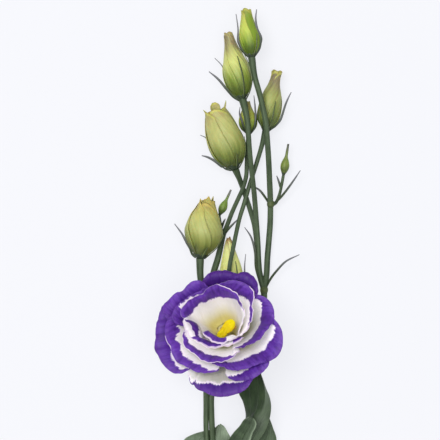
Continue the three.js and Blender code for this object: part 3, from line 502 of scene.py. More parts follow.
def makePetalSkin():
    fixed = {"Roughness": 0.52, "Sheen Weight": 0.06, "Sheen Roughness": 0.4, "Sheen Tint": tone("d9c4f0"),
             "Specular IOR Level": 0.3, "Subsurface Weight": 0.3, "Subsurface Scale": 0.002,
             "Subsurface Radius": (0.7, 0.8, 1.0), "Emission Strength": 1.0}
    material, tree, shader = newMaterial("petalSkin", fixed)
    spot = readAttribute(tree, "petalPlace")
    edge = readAttribute(tree, "petalEdge")
    kind = readAttribute(tree, "petalRim")
    side, paintedGlow = readAttribute(tree, "sheetSideAndPaintedGlow")[:2]
    lines = useGroup(tree, fibres, {"Across": spot[0], "Along": spot[1], "Seed": spot[2], "Fineness": 1.3})
    teeth = useGroup(tree, fibres, {"Across": spot[0], "Along": spot[1], "Seed": spot[2], "Fineness": 0.75,
                                    "Stretch": 0.35})
    blotch = useGroup(tree, mottle, {"Size": 7.0})
    c = petalColours
    # Inside the line: throat, cream, then white; the outside of a petal is greener low down
    pale = mixColour(tree, remap(tree, edge[2], 0.1, 0.42), c["throat"], c["cream"])
    pale = mixColour(tree, remap(tree, edge[2], 0.32, 0.56), pale, c["white"])
    low = calculate(tree, "MULTIPLY", side, remap(tree, edge[2], 0.75, 0.15))
    pale = mixColour(tree, low, pale, c["outsideGreen"])
    pale = mixColour(tree, calculate(tree, "MULTIPLY", lines["Mask"], 0.1), pale, c["throat"], "MULTIPLY")
    # Painted shade: the pale colours turn grey where a petal lies in shade, more so low down
    paintedShadeShare = calculate(tree, "MULTIPLY", kind[2], remap(tree, edge[2], 1.0, 0.6, 0.5, 1.6))
    pale = mixColour(tree, paintedShadeShare, pale, c["paintedShade"])
    # Feathered teeth at the line, with a blush on their white side
    ragged = calculate(tree, "MULTIPLY", calculate(tree, "SUBTRACT", teeth["Mask"], 0.5), 0.9)
    slow = calculate(tree, "MULTIPLY", calculate(tree, "SUBTRACT", teeth["Coarse"], 0.5), 1.2)
    past = calculate(tree, "ADD", edge[0], calculate(tree, "ADD", ragged, slow))
    pale = mixColour(tree, remap(tree, past, -1.7, 0.1, 0.0, 0.8), pale, c["blush"])
    rich = mixColour(tree, blotch["Mask"], c["deep"], c["purple"])
    rich = mixColour(tree, calculate(tree, "MULTIPLY", lines["Coarse"], 0.55), rich, c["bright"])
    rich = mixColour(tree, calculate(tree, "MULTIPLY", lines["Mask"], 0.28), rich, c["deep"])
    # Painted shade darkens the purple as well
    rich = mixColour(tree, kind[2], rich, c["deep"])
    shown = mixColour(tree, remap(tree, past, -0.3, 0.7), pale, rich)
    # The outside keeps only a share of the purple
    under = mixColour(tree, remap(tree, edge[1], 5.0, 0.4, 0.0, 0.9), pale, c["edge"])
    outer = mixColour(tree, lines["Coarse"], c["purple"], c["bright"])
    under = mixColour(tree, calculate(tree, "MULTIPLY", remap(tree, past, -0.4, 1.2), kind[1]), under, outer)
    colour = mixColour(tree, side, shown, under)
    # The thin pale edge along the rim: partly the pale underside where the rim rolls out, partly a painted highlight
    # along the rim
    rim = calculate(tree, "SUBTRACT", kind[0], edge[1])
    colour = mixColour(tree, remap(tree, rim, -0.1, 0.15, 0.0, 0.9), colour, c["edge"])
    tree.links.new(colour, shader.inputs["Base Color"])
    # A painted glow: the pale colour is emitted in the folds between the petals,
    # standing in for light that comes through the thin petals
    paintedGlow = calculate(tree, "MULTIPLY", paintedGlow, remap(tree, past, -0.2, -1.4))
    paintedGlow = calculate(tree, "MULTIPLY", paintedGlow, calculate(tree, "SUBTRACT", 1.0, side))
    tree.links.new(mixColour(tree, paintedGlow, c["none"], pale), shader.inputs["Emission Color"])
    ridges = calculate(tree, "ADD", calculate(tree, "MULTIPLY", lines["Mask"], 0.5), lines["Coarse"])
    ridges = calculate(tree, "ADD", ridges, calculate(tree, "MULTIPLY", blotch["Grain"], 0.15))
    relief(tree, shader, ridges, 0.14)
    tree.links.new(remap(tree, lines["Coarse"], 0.0, 1.0, 0.46, 0.6), shader.inputs["Roughness"])
    return material


# A petal's setting across it, from one number or from (across, value) knots
def spread(entry, key, s):
    value = entry.get(key, 0)
    return np.interp(s, *np.array(value).T) if isinstance(value, list) else np.full(s.shape, float(value))


def petalGrid(name, entry, chance):
    rim = [list(rimAt(p)) for p in entry["rim"]]
    for i in range(1, len(rim)):
        rim[i][0] -= 2 * math.pi * round((rim[i][0] - rim[i - 1][0]) / (2 * math.pi))
    rim = np.array(sorted(rim))
    table = smoothLine(np.column_stack([rim, np.zeros(len(rim))]), np.linspace(0, 1, 81))
    middle = (rim[0, 0] + rim[-1, 0]) / 2
    half = (rim[-1, 0] - rim[0, 0]) / 2
    s, t = np.meshgrid(np.linspace(-1, 1, bloom["columns"] + 1), np.linspace(0, 1, bloom["rows"] + 1))
    root = entry.get("root", bloom["rootWidth"])
    turn = middle + s * half * (root + (1 - root) * smoothStep(t, 0, 0.7))
    layer = np.interp(turn, table[:, 0], table[:, 1])
    points = bowlPoint(turn, layer, t * (1 - 0.16 * np.abs(s) ** 5))
    walkAlong = np.linalg.norm(np.diff(points, axis=0), axis=2)
    along = np.vstack([np.zeros(points.shape[1]), np.cumsum(walkAlong, 0)])
    walkAcross = np.linalg.norm(np.diff(points, axis=1), axis=2)
    across = np.column_stack([np.zeros(points.shape[0]), np.cumsum(walkAcross, 1)])
    width = across[-1, -1]
    across = across - across[:, bloom["columns"] // 2][:, None]
    toRim = np.minimum(along[-1] - along, np.minimum(across - across[:, :1], across[:, -1:] - across) * 1.0)
    down, right = np.gradient(points, axis=(0, 1))
    outward = unit(np.cross(right, down))
    phase = chance.uniform(0, 2 * math.pi, 4)
    broad = np.sin(s * math.pi * max(1.0, width / 24) + phase[0]) + 0.6 * np.sin(s * math.pi * width / 13 + phase[1])
    fine = np.sin(s * math.pi * width / 6.1 + phase[2]) + 0.7 * np.sin(s * math.pi * width / 3.7 + phase[3])
    lift = bloom["broadWave"] * broad * t ** 4 + bloom["fineWave"] * fine * t ** 9
    roll = smoothStep(bloom["rollWidth"] - toRim, 0, bloom["rollWidth"]) * smoothStep(t, 0.5, 0.8)
    lift = lift + entry["roll"] * roll
    # Below a flared rim the wall stands further in, so the flare is seen from above
    lift = lift - spread(entry, "tuck", s) * smoothStep(t, 0.1, 0.5) * smoothStep(toRim, 0, bloom["tuckWidth"])
    points = points + outward * lift[..., None]
    line = np.interp(s, *np.array(entry["white"]).T)
    past = (t - line) * along[-1]
    thick = bloom["rimThickness"] + (bloom["thickness"] - bloom["rimThickness"]) * smoothStep(toRim, 0, 6)
    seed = float(list(petals).index(name)) * 3.7
    # Painted shade across the petal; where it is given as knots, only near the rim
    paintedShade = spread(entry, "paintedShade", s)
    if isinstance(entry["paintedShade"], list):
        paintedShade = paintedShade * smoothStep(t, 0.72, 0.82)
    # Painted glow: how much of the pale colour is emitted, low in the petal's folds
    paintedGlow = entry.get("paintedGlow", 0) * smoothStep(t, 0.2, 0.55)
    values = {
        "petalPlace": np.stack([across, along, np.full(s.shape, seed)], 2),
        "petalEdge": np.stack([past, toRim, t], 2),
        "petalRim": np.stack([np.interp(s, *np.array(entry["edge"]).T), np.full(s.shape, entry["back"]), paintedShade], 2),
        "sheetSideAndPaintedGlow": np.stack([np.zeros(s.shape), paintedGlow, np.zeros(s.shape)], 2),
    }
    return thinSheet(points, thick, values)


petalSkin = makePetalSkin()
chance = np.random.RandomState(bloom["seed"])
for petalName, entry in petals.items():
    corners, faces, flat, values = petalGrid(petalName, entry, chance)
    piece = makeObject("petal_sheet_" + petalName, corners, faces, petalSkin, flat, values)
    finishPiece(piece, "petal", "petal_" + petalName)
print("petals made:", len(petals))

# The pistil with its two-lobed stigma, and the stamens round it
heart = {
    "stigmaMiddle": (225.6, 329.5, 35), "lobeWay": (0.66, 0.75, 0), "lobeLength": 6.4, "lobeWidth": 5.3,
    "lobeThickness": 1.5, "grainSize": 0.2, "grainsPerArea": 3.2, "grainSeed": 5,
    "ovaryTone": tone("a3ae5c"), "styleTone": tone("cdd48e"), "stigmaTone": tone("e6d400"),
    "stigmaShade": tone("d8bc00"), "antherTone": tone("bb7a12"), "filamentTone": tone("dcdcaa"),
    "stamenPlaces": [(10, 3.9, 3.1), (-62, -0.9, 1.95), (-134, -2.9, 0.5), (154, -1.6, -1.6), (82, 1.9, -1.3)],
}
zAxis = np.array([0.0, 0.0, 1.0])
xAxis = np.array([1.0, 0.0, 0.0])
pistilFoot = inBloom(0, 0, 4.6)
stigmaMiddle = place(*heart["stigmaMiddle"])


def makeOrganSkin(name, low, high, roughness, depth, change=0.5):
    material, tree, shader = newMaterial(name, {"Roughness": roughness, "Subsurface Weight": 0.1,
                                                "Subsurface Scale": 0.0008, "Specular IOR Level": 0.2})
    strip = readAttribute(tree, "stripPlace")
    blotch = useGroup(tree, mottle, {"Size": 1.1})
    share = calculate(tree, "ADD", strip[2], calculate(tree, "MULTIPLY", calculate(
        tree, "SUBTRACT", blotch["Mask"], 0.5), 0.35))
    colour = mixColour(tree, remap(tree, share, change - 0.25, change + 0.25), low, high)
    colour = mixColour(tree, calculate(tree, "MULTIPLY", blotch["Mask"], 0.2), colour, low)
    tree.links.new(colour, shader.inputs["Base Color"])
    relief(tree, shader, blotch["Mask"], depth)
    return material


ovarySkin = makeOrganSkin("ovarySkin", heart["ovaryTone"], heart["styleTone"], 0.42, 0.05)
stigmaSkin = makeOrganSkin("stigmaSkin", heart["stigmaShade"], heart["stigmaTone"], 0.6, 0.12)
stamenSkin = makeOrganSkin("stamenSkin", heart["filamentTone"], heart["antherTone"], 0.55, 0.06)

pistilWay = stigmaMiddle - pistilFoot
pistilLine = np.array([pistilFoot, pistilFoot + pistilWay * 0.35, pistilFoot + pistilWay * 0.72,
                       stigmaMiddle - zAxis * 0.8])
ovaryRadii = [(0, 1.4), (0.2, 2.1), (0.45, 1.7), (0.62, 0.8), (1, 0.9)]


def ovarySection(u):
    ring = ringOf(alongKnots(ovaryRadii, u), 40)
    turn = np.linspace(0, 2 * np.pi, 40, endpoint=False)
    return ring * (1 + 0.06 * smoothStep(0.55 - u, 0, 0.3) * np.cos(2 * turn))[:, None]


shape = sweep(pistilLine, 60, xAxis, ovarySection)
pistil = makeObject("pistil_ovary", shape[0], shape[1], ovarySkin, (), shape[3])
finishPiece(pistil, "pistil", "pistil")


def stigmaLobe(side):
    out = np.array(heart["lobeWay"]) * side
    line = [stigmaMiddle + out * share * heart["lobeLength"] + zAxis * (1.3 - 1.3 * share * share)
            for share in (-0.12, 0.3, 0.7, 1)]

    def section(u):
        wide = (heart["lobeWidth"] / 2) * math.sin(math.pi * (0.24 + 0.62 * u)) * (1 + 0.14 * side)
        ring = ringOf(1, 48)
        fold = 0.35 * np.exp(-(ring[:, 0] / 0.22) ** 2) * (ring[:, 1] > 0)
        wave = 0.08 * np.sin(9 * u + 3 * ring[:, 0])
        return np.stack([ring[:, 0] * wide, ring[:, 1] * heart["lobeThickness"] / 2 - fold + wave], 1)

    return sweep(np.array(line), 44, zAxis, section)


# Grains that cover a surface: small balls set at random places of it, with a fixed seed
def makeGrainTree():
    tree = bpy.data.node_groups.new("grains", "GeometryNodeTree")
    face = tree.interface
    face.new_socket("Surface", in_out="INPUT", socket_type="NodeSocketGeometry")
    for label, value in (("Grain Size", 0.0002), ("Grains Per Area", 1e6), ("Smallest", 0.6), ("Largest", 1.2)):
        face.new_socket(label, in_out="INPUT", socket_type="NodeSocketFloat").default_value = value
    face.new_socket("Seed", in_out="INPUT", socket_type="NodeSocketInt").default_value = 0
    face.new_socket("Finish", in_out="INPUT", socket_type="NodeSocketMaterial")
    face.new_socket("Covered", in_out="OUTPUT", socket_type="NodeSocketGeometry")
    given = tree.nodes.new("NodeGroupInput").outputs
    scatter = addNode(tree, "GeometryNodeDistributePointsOnFaces", {"Mesh": given["Surface"],
                      "Density": given["Grains Per Area"], "Seed": given["Seed"]})
    ball = addNode(tree, "GeometryNodeMeshIcoSphere", {"Radius": given["Grain Size"], "Subdivisions": 2})
    chance = addNode(tree, "FunctionNodeRandomValue", {"Seed": given["Seed"]})
    tree.links.new(given["Smallest"], chance.inputs[2])
    tree.links.new(given["Largest"], chance.inputs[3])
    grains = addNode(tree, "GeometryNodeInstanceOnPoints", {"Points": scatter.outputs["Points"],
                     "Instance": ball.outputs["Mesh"], "Scale": chance.outputs[1]})
    real = addNode(tree, "GeometryNodeRealizeInstances", {0: grains.outputs[0]})
    both = tree.nodes.new("GeometryNodeJoinGeometry")
    tree.links.new(real.outputs[0], both.inputs[0])
    tree.links.new(given["Surface"], both.inputs[0])
    smooth = addNode(tree, "GeometryNodeSetShadeSmooth", {0: both.outputs[0]})
    coat = addNode(tree, "GeometryNodeSetMaterial", {0: smooth.outputs[0], "Material": given["Finish"]})
    end = tree.nodes.new("NodeGroupOutput")
    tree.links.new(coat.outputs[0], end.inputs[0])
    return tree


# Runs a geometry tree on a piece and keeps its result as a plain mesh
def grow(piece, tree, settings):
    modifier = piece.modifiers.new(tree.name, "NODES")
    modifier.node_group = tree
    for item in tree.interface.items_tree:
        if item.item_type == "SOCKET" and item.in_out == "INPUT" and item.name in settings:
            modifier[item.identifier] = settings[item.name]
    bpy.context.view_layer.update()
    grown = piece.evaluated_get(bpy.context.evaluated_depsgraph_get())
    mesh = bpy.data.meshes.new_from_object(grown)
    piece.modifiers.clear()
    piece.data = mesh
    return piece


grainTree = makeGrainTree()
stigmaShape = gather([stigmaLobe(1), stigmaLobe(-1)])
stigma = makeObject("stigma_lobes", stigmaShape[0], stigmaShape[1], stigmaSkin, (), stigmaShape[3])
grow(stigma, grainTree, {
    "Grain Size": heart["grainSize"] * millimetre, "Grains Per Area": heart["grainsPerArea"] / millimetre ** 2,
    "Seed": heart["grainSeed"], "Finish": stigmaSkin,
})
finishPiece(stigma, "stigma", "stigma")

stamenRadii = [(0, 0.35), (0.62, 0.3), (0.72, 0.9), (0.92, 0.9), (1, 0.35)]
lobeWay = np.array(heart["lobeWay"])
lobeSide = np.array([lobeWay[1], -lobeWay[0], 0])
for i, (degrees, along, across) in enumerate(heart["stamenPlaces"]):
    turn = math.radians(degrees)
    tip = stigmaMiddle + lobeWay * along + lobeSide * across - zAxis * 1.9
    line = np.array([inBloom(turn, 2.8, 5), pistilFoot + pistilWay * 0.3 + inBloom(turn, 3.1, 0) - bloomBase,
                     tip - zAxis * 4, tip])

    def stamenSection(u):
        ring = ringOf(alongKnots(stamenRadii, u), 20)
        groove = 1 - 0.25 * smoothStep(u, 0.66, 0.74) * np.exp(-(ring[:, 0] / 0.2) ** 2)
        return ring * groove[:, None]

    shape = sweep(line, 60, xAxis, stamenSection)
    stamen = makeObject("stamen_%d_anther" % (i + 1), shape[0], shape[1], stamenSkin, (), shape[3])
    finishPiece(stamen, "stamen", "stamen_%d" % (i + 1))
print("pistil and stamens made")

# Buds. A profile is (share of length, share of width). A seam is where a petal's free edge runs, in
# degrees round the bud (90 faces up) low on the bud and at its tip.
closedProfile = [(0, 0.3), (0.09, 0.68), (0.21, 0.93), (0.34, 1), (0.48, 0.93), (0.64, 0.7), (0.82, 0.44), (1, 0.3)]
wideProfile = [(0, 0.3), (0.09, 0.68), (0.21, 0.93), (0.34, 1), (0.48, 0.95), (0.64, 0.78), (0.82, 0.58), (1, 0.47)]
flaredProfile = [(0, 0.3), (0.06, 0.6), (0.14, 0.88), (0.28, 1), (0.43, 0.95), (0.6, 0.78), (0.76, 0.5),
                 (0.88, 0.41), (1, 0.46)]
pointedProfile = [(0, 0.3), (0.09, 0.68), (0.21, 0.93), (0.34, 1), (0.48, 0.93), (0.64, 0.72), (0.82, 0.46),
                  (0.93, 0.3), (1, 0.14)]
ripeProfile = [(0, 0.3), (0.08, 0.51), (0.16, 0.71), (0.28, 0.9), (0.44, 1), (0.58, 0.92), (0.74, 0.76),
               (0.88, 0.54), (1, 0.4)]
openProfile = [(0, 0.3), (0.05, 0.52), (0.12, 0.74), (0.26, 0.94), (0.42, 1), (0.62, 0.93), (0.82, 0.78), (1, 0.57)]
youngProfile = [(0, 0.45), (0.12, 0.86), (0.26, 1), (0.42, 0.72), (0.56, 0.34), (0.75, 0.26), (1, 0.2)]

buds = {
    "bud_top": {
        "base": (251.4, 55.2, 15.6), "tip": (246.2, 10, 13.6), "halfWidth": 10.3, "profile": wideProfile,
        "seam": (60, 116), "hand": 1, "crown": 0.07, "brown": (0.8, 0.5), "shade": 0.95,
        "tones": ("3a4e16", "738c1e", "c0ca5a", "c3c65a", "8f8448", "b4b04c"),
        "sepals": [(52, 0.42), (15, 0.34, (257.2, 28.7, 17), (255.7, 19, 17.4), (256.6, 9.4, 18)),
                   (165, 0.34, (238, 28.7, 14), (236, 14, 14)), (235, 0.45), (305, 0.45)],
    },
    "bud_upper_left": {
        "base": (242.2, 97.2, 10.8), "tip": (228.2, 33.6, 8.6), "halfWidth": 14.1, "profile": closedProfile,
        "seam": (20, 84), "hand": 1, "crown": 0.05, "brown": (0.52, 1.0),
        "tones": ("3c4c16", "7a8c30", "cfd37c", "bcb874", "7e6a58", "a89a5c"),
        "sepals": [(72, 0.6), (20, 0.62), (168, 0.05, (226, 88.4, 13), (218, 79, 13.6), (208.9, 71.6, 14)),
                   (215, 0.3, (222.4, 66.6, 5.4), (214.8, 58, 5)), (300, 0.45)],
    },
    "bud_upper_right": {
        "base": (265.8, 128.5, 6.7), "tip": (276.8, 71.4, 7.6), "halfWidth": 11.9, "profile": flaredProfile,
        "seam": (175, 88), "hand": -1, "crown": 0.07, "brown": (0.5, 0.95),
        "tones": ("404f20", "75803a", "a3a860", "9c9670", "75634f", "c6c45c"),
        "sepals": [(70, 0.48), (14, 0.2, (285.4, 105, 9), (288, 98.6, 10), (291.3, 92.2, 10.5)), (140, 0.5),
                   (232, 0.42), (308, 0.42)],
    },
    "bud_left": {
        "base": (234.3, 166.2, 10.1), "tip": (214.9, 110.5, 10.6), "halfWidth": 18.4, "profile": openProfile,
        "seam": (78, 104), "hand": 1, "crown": 0.1, "brown": (0.74, 0.6),
        "tones": ("3c481a", "727e34", "b2b36c", "bcba74", "937a52", "c2c25a"),
        "sepals": [(70, 0.2), (20, 0.42), (180, 0.03, (222.4, 167, 12.2), (214, 160.6, 13.6), (207.6, 157.2, 14.6), (201.7, 155.6, 15)),
                   (212, 0.34, (206.4, 138.6, 5), (200.4, 135, 5)), (300, 0.3)],
        "points": [(203.4, 110, 12, 0.8), (213.4, 102.6, 13, 2), (225.8, 100.6, 9, 1.2), (216, 105, 6, 1)],
    },
    "bud_small": {
        "base": (248.4, 132.8, 5.8), "tip": (247, 101, 5.2), "halfWidth": 9.2, "profile": closedProfile,
        "seam": (70, 110), "hand": 1, "crown": 0.05, "brown": (0.5, 0.8),
        "tones": ("445220", "7e9030", "acb350", "a59a54", "7a6444", "8a7c44"),
        "sepals": [(90, 0.5), (44, 0.4, (255, 106, 10), (253.9, 95.4, 9)),
                   (124, 0.35, (239.6, 114, 9.4), (240, 107, 8.6)), (235, 0.4), (305, 0.4)],
    },
    "bud_behind": {
        "base": (232.7, 300, 6.3), "tip": (228.6, 238, 6.4), "halfWidth": 12, "profile": pointedProfile,
        "seam": (50, 100), "hand": 1, "crown": 0.06, "brown": (0.8, 0.8),
        "tones": ("65762c", "b4be58", "dfe28c", "e0e098", "8c6a48", "8c6a48"),
        "sepals": [(60, 0.62), (5, 0.3, (244.6, 268, 5.4), (245.7, 254, 5.4)), (160, 0.5), (232, 0.45),
                   (305, 0.45)],
    },
    "bud_lower_left": {
        "base": (200.4, 255.5, 10), "tip": (207.1, 202, 10.6), "halfWidth": 19.2, "profile": ripeProfile,
        "seam": (50, 108), "hand": 1, "crown": 0.09, "brown": (0.74, 0.6), "shade": 0.25,
        "tones": ("3e4720", "788038", "b4b66e", "cac56c", "8a6c40", "c8b45c"),
        "sepals": [(66, 0.2), (10, 0.44),
                   (172, 0.03, (190, 248.4, 12), (186, 241.4, 12.8), (182.2, 234.2, 13.2), (174.5, 223.8, 13.4)),
                   (232, 0.42), (305, 0.42)],
        "points": [(200.4, 198.6, 13, 0.8), (208.8, 196.4, 15, 0.9), (213.3, 196.2, 11, 0.9), (206, 199, 8, 1.5)],
    },
    "bud_tiny_left": {
        "base": (220.3, 213.2, 4.2), "tip": (231, 189.8, 5.4), "halfWidth": 4, "profile": youngProfile,
        "seam": (60, 100), "hand": 1, "crown": 0.02, "brown": (0.56, 1.0), "sepals": [],
        "tones": ("3c4c24", "6c8432", "6a8238", "566048", "625c64", "625c64"),
    },
    "bud_tiny_right": {
        "base": (283.7, 173.2, 5), "tip": (288.3, 144, 6), "halfWidth": 4.2, "profile": youngProfile,
        "seam": (70, 120), "hand": 1, "crown": 0.02, "brown": (0.6, 1.0), "sepals": [],
        "tones": ("445226", "76863a", "6c7a3c", "484f40", "3a363c", "3a363c"),
    },
}
budMake = {
    "petals": 5, "span": 118, "lapDepth": 0.15, "thickness": 0.3, "rimThickness": 0.14, "columns": 22, "rows": 56,
    "pucker": 0.018, "shadedPetal": 4, "seed": 23,
}


def makeBudSkin(name, tones, brownStart, brownShare):
    material, tree, shader = newMaterial(name, {"Roughness": 0.5, "Subsurface Weight": 0.1,
                                                "Subsurface Scale": 0.001, "Specular IOR Level": 0.4})
    foot, low, body, high, tip, rim = (tone(code) for code in tones)
    spot = readAttribute(tree, "budPlace")
    edge = readAttribute(tree, "budEdge")
    lines = useGroup(tree, fibres, {"Across": spot[0], "Along": calculate(tree, "MULTIPLY", spot[1], 30.0),
                                    "Seed": spot[2], "Fineness": 1.1, "Stretch": 0.1})
    blotch = useGroup(tree, mottle, {"Size": 5.0})
    rise = calculate(tree, "ADD", spot[1], calculate(tree, "MULTIPLY", calculate(
        tree, "SUBTRACT", lines["Coarse"], 0.5), 0.12))
    colour = mixColour(tree, remap(tree, rise, 0.05, 0.32), foot, low)
    colour = mixColour(tree, remap(tree, rise, 0.2, 0.6), colour, body)
    colour = mixColour(tree, remap(tree, rise, 0.6, 0.9), colour, high)
    # Painted shade: the shaded petal of some buds is darkened towards the low green
    colour = mixColour(tree, edge[2], colour, low)
    # Brown creeps down the fibres from the tip; along the free edges of the petals the darker line is partly their
    # brown and partly painted shade of the seam
    brown = calculate(tree, "MULTIPLY", remap(tree, rise, brownStart, 0.97), remap(tree, lines["Mask"], -0.5, 0.6))
    colour = mixColour(tree, calculate(tree, "MULTIPLY", brown, brownShare), colour, tip)
    edgeBrownAndSeamShade = calculate(tree, "MULTIPLY", remap(tree, edge[0], 0.7, 0.1), remap(tree, rise, 0.2, 0.9))
    colour = mixColour(tree, calculate(tree, "MULTIPLY", edgeBrownAndSeamShade, 0.42), colour, tip)
    colour = mixColour(tree, remap(tree, edge[1], 2.4, 0.8, 0.0, 0.8), colour, rim)
    colour = mixColour(tree, remap(tree, edge[1], 0.6, 0.2, 0.0, 0.5), colour, tip)
    colour = mixColour(tree, calculate(tree, "MULTIPLY", lines["Mask"], 0.14), colour, low)
    colour = mixColour(tree, calculate(tree, "MULTIPLY", blotch["Mask"], 0.18), colour, low)
    tree.links.new(colour, shader.inputs["Base Color"])
    ridges = calculate(tree, "ADD", lines["Coarse"], calculate(tree, "MULTIPLY", lines["Mask"], 0.4))
    relief(tree, shader, ridges, 0.1)
    return material


def budFrame(bud):
    base, tip = place(*bud["base"]), place(*bud["tip"])
    length = np.linalg.norm(tip - base)
    axis = (tip - base) / length
    front = unit(zAxis - axis * axis[2])
    return {"base": base, "tip": tip, "axis": axis, "front": front, "side": np.cross(axis, front),
            "length": length, "radius": bud["halfWidth"] * pixelSize}


# A point about a bud's axis: turn 0 is its right, a quarter turn faces up
def aboutBud(f, turn, share, radius):
    turn, share, radius = np.broadcast_arrays(turn, share, radius)
    return (f["base"] + (share * f["length"])[..., None] * f["axis"] + (radius * np.cos(turn))[..., None] * f["side"]
            + (radius * np.sin(turn))[..., None] * f["front"])


def budValues(across, share, seed, toSide, toTop, shade=0.0):
    return {"budPlace": np.stack([across, share, np.full(share.shape, seed)], 2),
            "budEdge": np.stack([toSide, toTop, np.full(share.shape, shade)], 2)}


# One furled petal: its free edge lies on its neighbour, and its other edge is tucked under the next
def budPetal(bud, f, k, chance, depth=1.0, reach=1.0):
    low, high = bud["seam"]
    hand = bud["hand"]
    s, t = np.meshgrid(np.linspace(-1, 1, budMake["columns"] + 1), np.linspace(0, 1, budMake["rows"] + 1))
    height = reach * (1 + bud["crown"] * chance.uniform(-0.3, 0.5))
    top = height - bud["crown"] * np.abs(s - 0.1) ** 2.2 * 1.3
    share = t * top
    seam = np.radians(low + (high - low) * smoothStep(share, 0.05, 1.1) + 72 * k)
    turn = seam + hand * (s + 1) / 2 * math.radians(budMake["span"])
    radius = f["radius"] * alongKnots(bud["profile"], np.minimum(share, 1)) * depth
    lap = 1 - budMake["lapDepth"] * (s + 1) / 2 + budMake["pucker"] * (1 - s * s)
    curl = bud["crown"] * 0.9 * f["radius"] * smoothStep(share, 0.86, 1.05) * chance.uniform(0.1, 1.0)
    wave = 0.02 * np.sin(5 * s + 9 * t + chance.uniform(0, 6)) * smoothStep(t, 0.3, 0.9)
    points = aboutBud(f, turn, share, radius * (lap + wave) + curl)
    across = (s + 1) / 2 * math.radians(budMake["span"]) * radius
    toTop = (top - share) * f["length"]
    thick = budMake["rimThickness"] + (budMake["thickness"] - budMake["rimThickness"]) * smoothStep(toTop, 0, 4)
    seed = k * 2.3 + bud["halfWidth"]
    # Painted shade on one petal, as much as the bud's shade says
    shade = bud.get("shade", 0) if k == budMake["shadedPetal"] else 0
    return thinSheet(points if hand > 0 else points[:, ::-1], thick,
                     {key: (v if hand > 0 else v[:, ::-1]) for key, v in
                      budValues(across, share, seed, across, toTop, shade).items()})


# A small curled tip that stands up out of an opening bud
def budPoint(f, seenPoint, k):
    end = place(*seenPoint[:3])
    root = f["tip"] - f["axis"] * 0.3 * f["length"]
    waist = root + (end - root) * 0.55 + f["axis"]
    s, t = np.meshgrid(np.linspace(-1, 1, 13), np.linspace(0, 1, 25))
    line = smoothLine([root, waist, end], t[:, 0])
    way = unit(np.gradient(line, axis=0))
    outward = unit((end - f["tip"]) - f["axis"] * (end - f["tip"]).dot(f["axis"]) + zAxis * 0.6)
    side = unit(np.cross(way, outward))
    broad = seenPoint[3]
    wide = alongKnots([(0, 1.9), (0.6, 2.0 + 0.4 * broad), (0.85, 1.3 * broad), (1, 0.22 * broad ** 2)], t)
    hollow = 0.35 * wide * (s * s)
    points = (line[:, None, :] + (wide * s)[..., None] * side[:, None, :]
              - hollow[..., None] * unit(np.cross(side, way))[:, None, :] * -1)
    toTop = (1 - t) * np.linalg.norm(end - root)
    return thinSheet(points, 0.25, budValues(wide * s, 0.62 + 0.25 * t, k * 1.9, wide * (1 - np.abs(s)), toTop))


def budCore(bud, f):
    shares = np.linspace(0.01, 0.9, 24)
    turns = np.linspace(0, 2 * np.pi, 24, endpoint=False)
    share, turn = np.meshgrid(shares, turns, indexing="ij")
    radius = f["radius"] * alongKnots(bud["profile"], share) * 0.66 * smoothStep(1.0 - share, 0, 0.4)
    rings = aboutBud(f, turn, share, radius)
    zero = np.zeros(share.shape)
    return skin(rings, budValues(turn, share * 0.8, 3.0, zero + 5, zero + 5))


chance = np.random.RandomState(budMake["seed"])
for budName, bud in buds.items():
    f = budFrame(bud)
    young = bud["profile"] is youngProfile
    shapes = [budPetal(bud, f, k, chance) for k in range(budMake["petals"])]
    if not young:
        shapes += [budPetal(bud, f, k + 0.5, chance, 0.72, 0.985) for k in range(3)]
    shapes.append(budCore(bud, f))
    shapes += [budPoint(f, p, k) for k, p in enumerate(bud.get("points", []))]
    corners, faces, flat, values = gather([(c, q, w, {key: v for key, v in d.items() if key != "sheetSideAndPaintedGlow"})
                                           for c, q, w, d in shapes])
    piece = makeObject(budName + "_petals", corners, faces, makeBudSkin(budName + "_skin", bud["tones"], *bud["brown"]),
                       flat, values)
    finishPiece(piece, "bud", budName)
print("buds made:", len(buds))

# The stem: stalks, joints, cups, the seat of the bloom, sepals and bracts
stem = {
    "sides": 28, "girth": 1.08, "unevenness": 0.09,
    "dark": tone("2a3724"), "green": tone("44533a"), "light": tone("67785a"), "purpleGrey": tone("7b7981"),
    "margin": tone("8e9c50"), "sepalWidth": 1.85, "bractWidth": 1.35, "seatTone": tone("d8d09a"),
    "mainNode": (213, 478, 3.6), "sideNode": (264, 290, 2.9),
}


def budFoot(name):
    f = budFrame(buds[name])
    return f["base"] - f["axis"] * 1.6


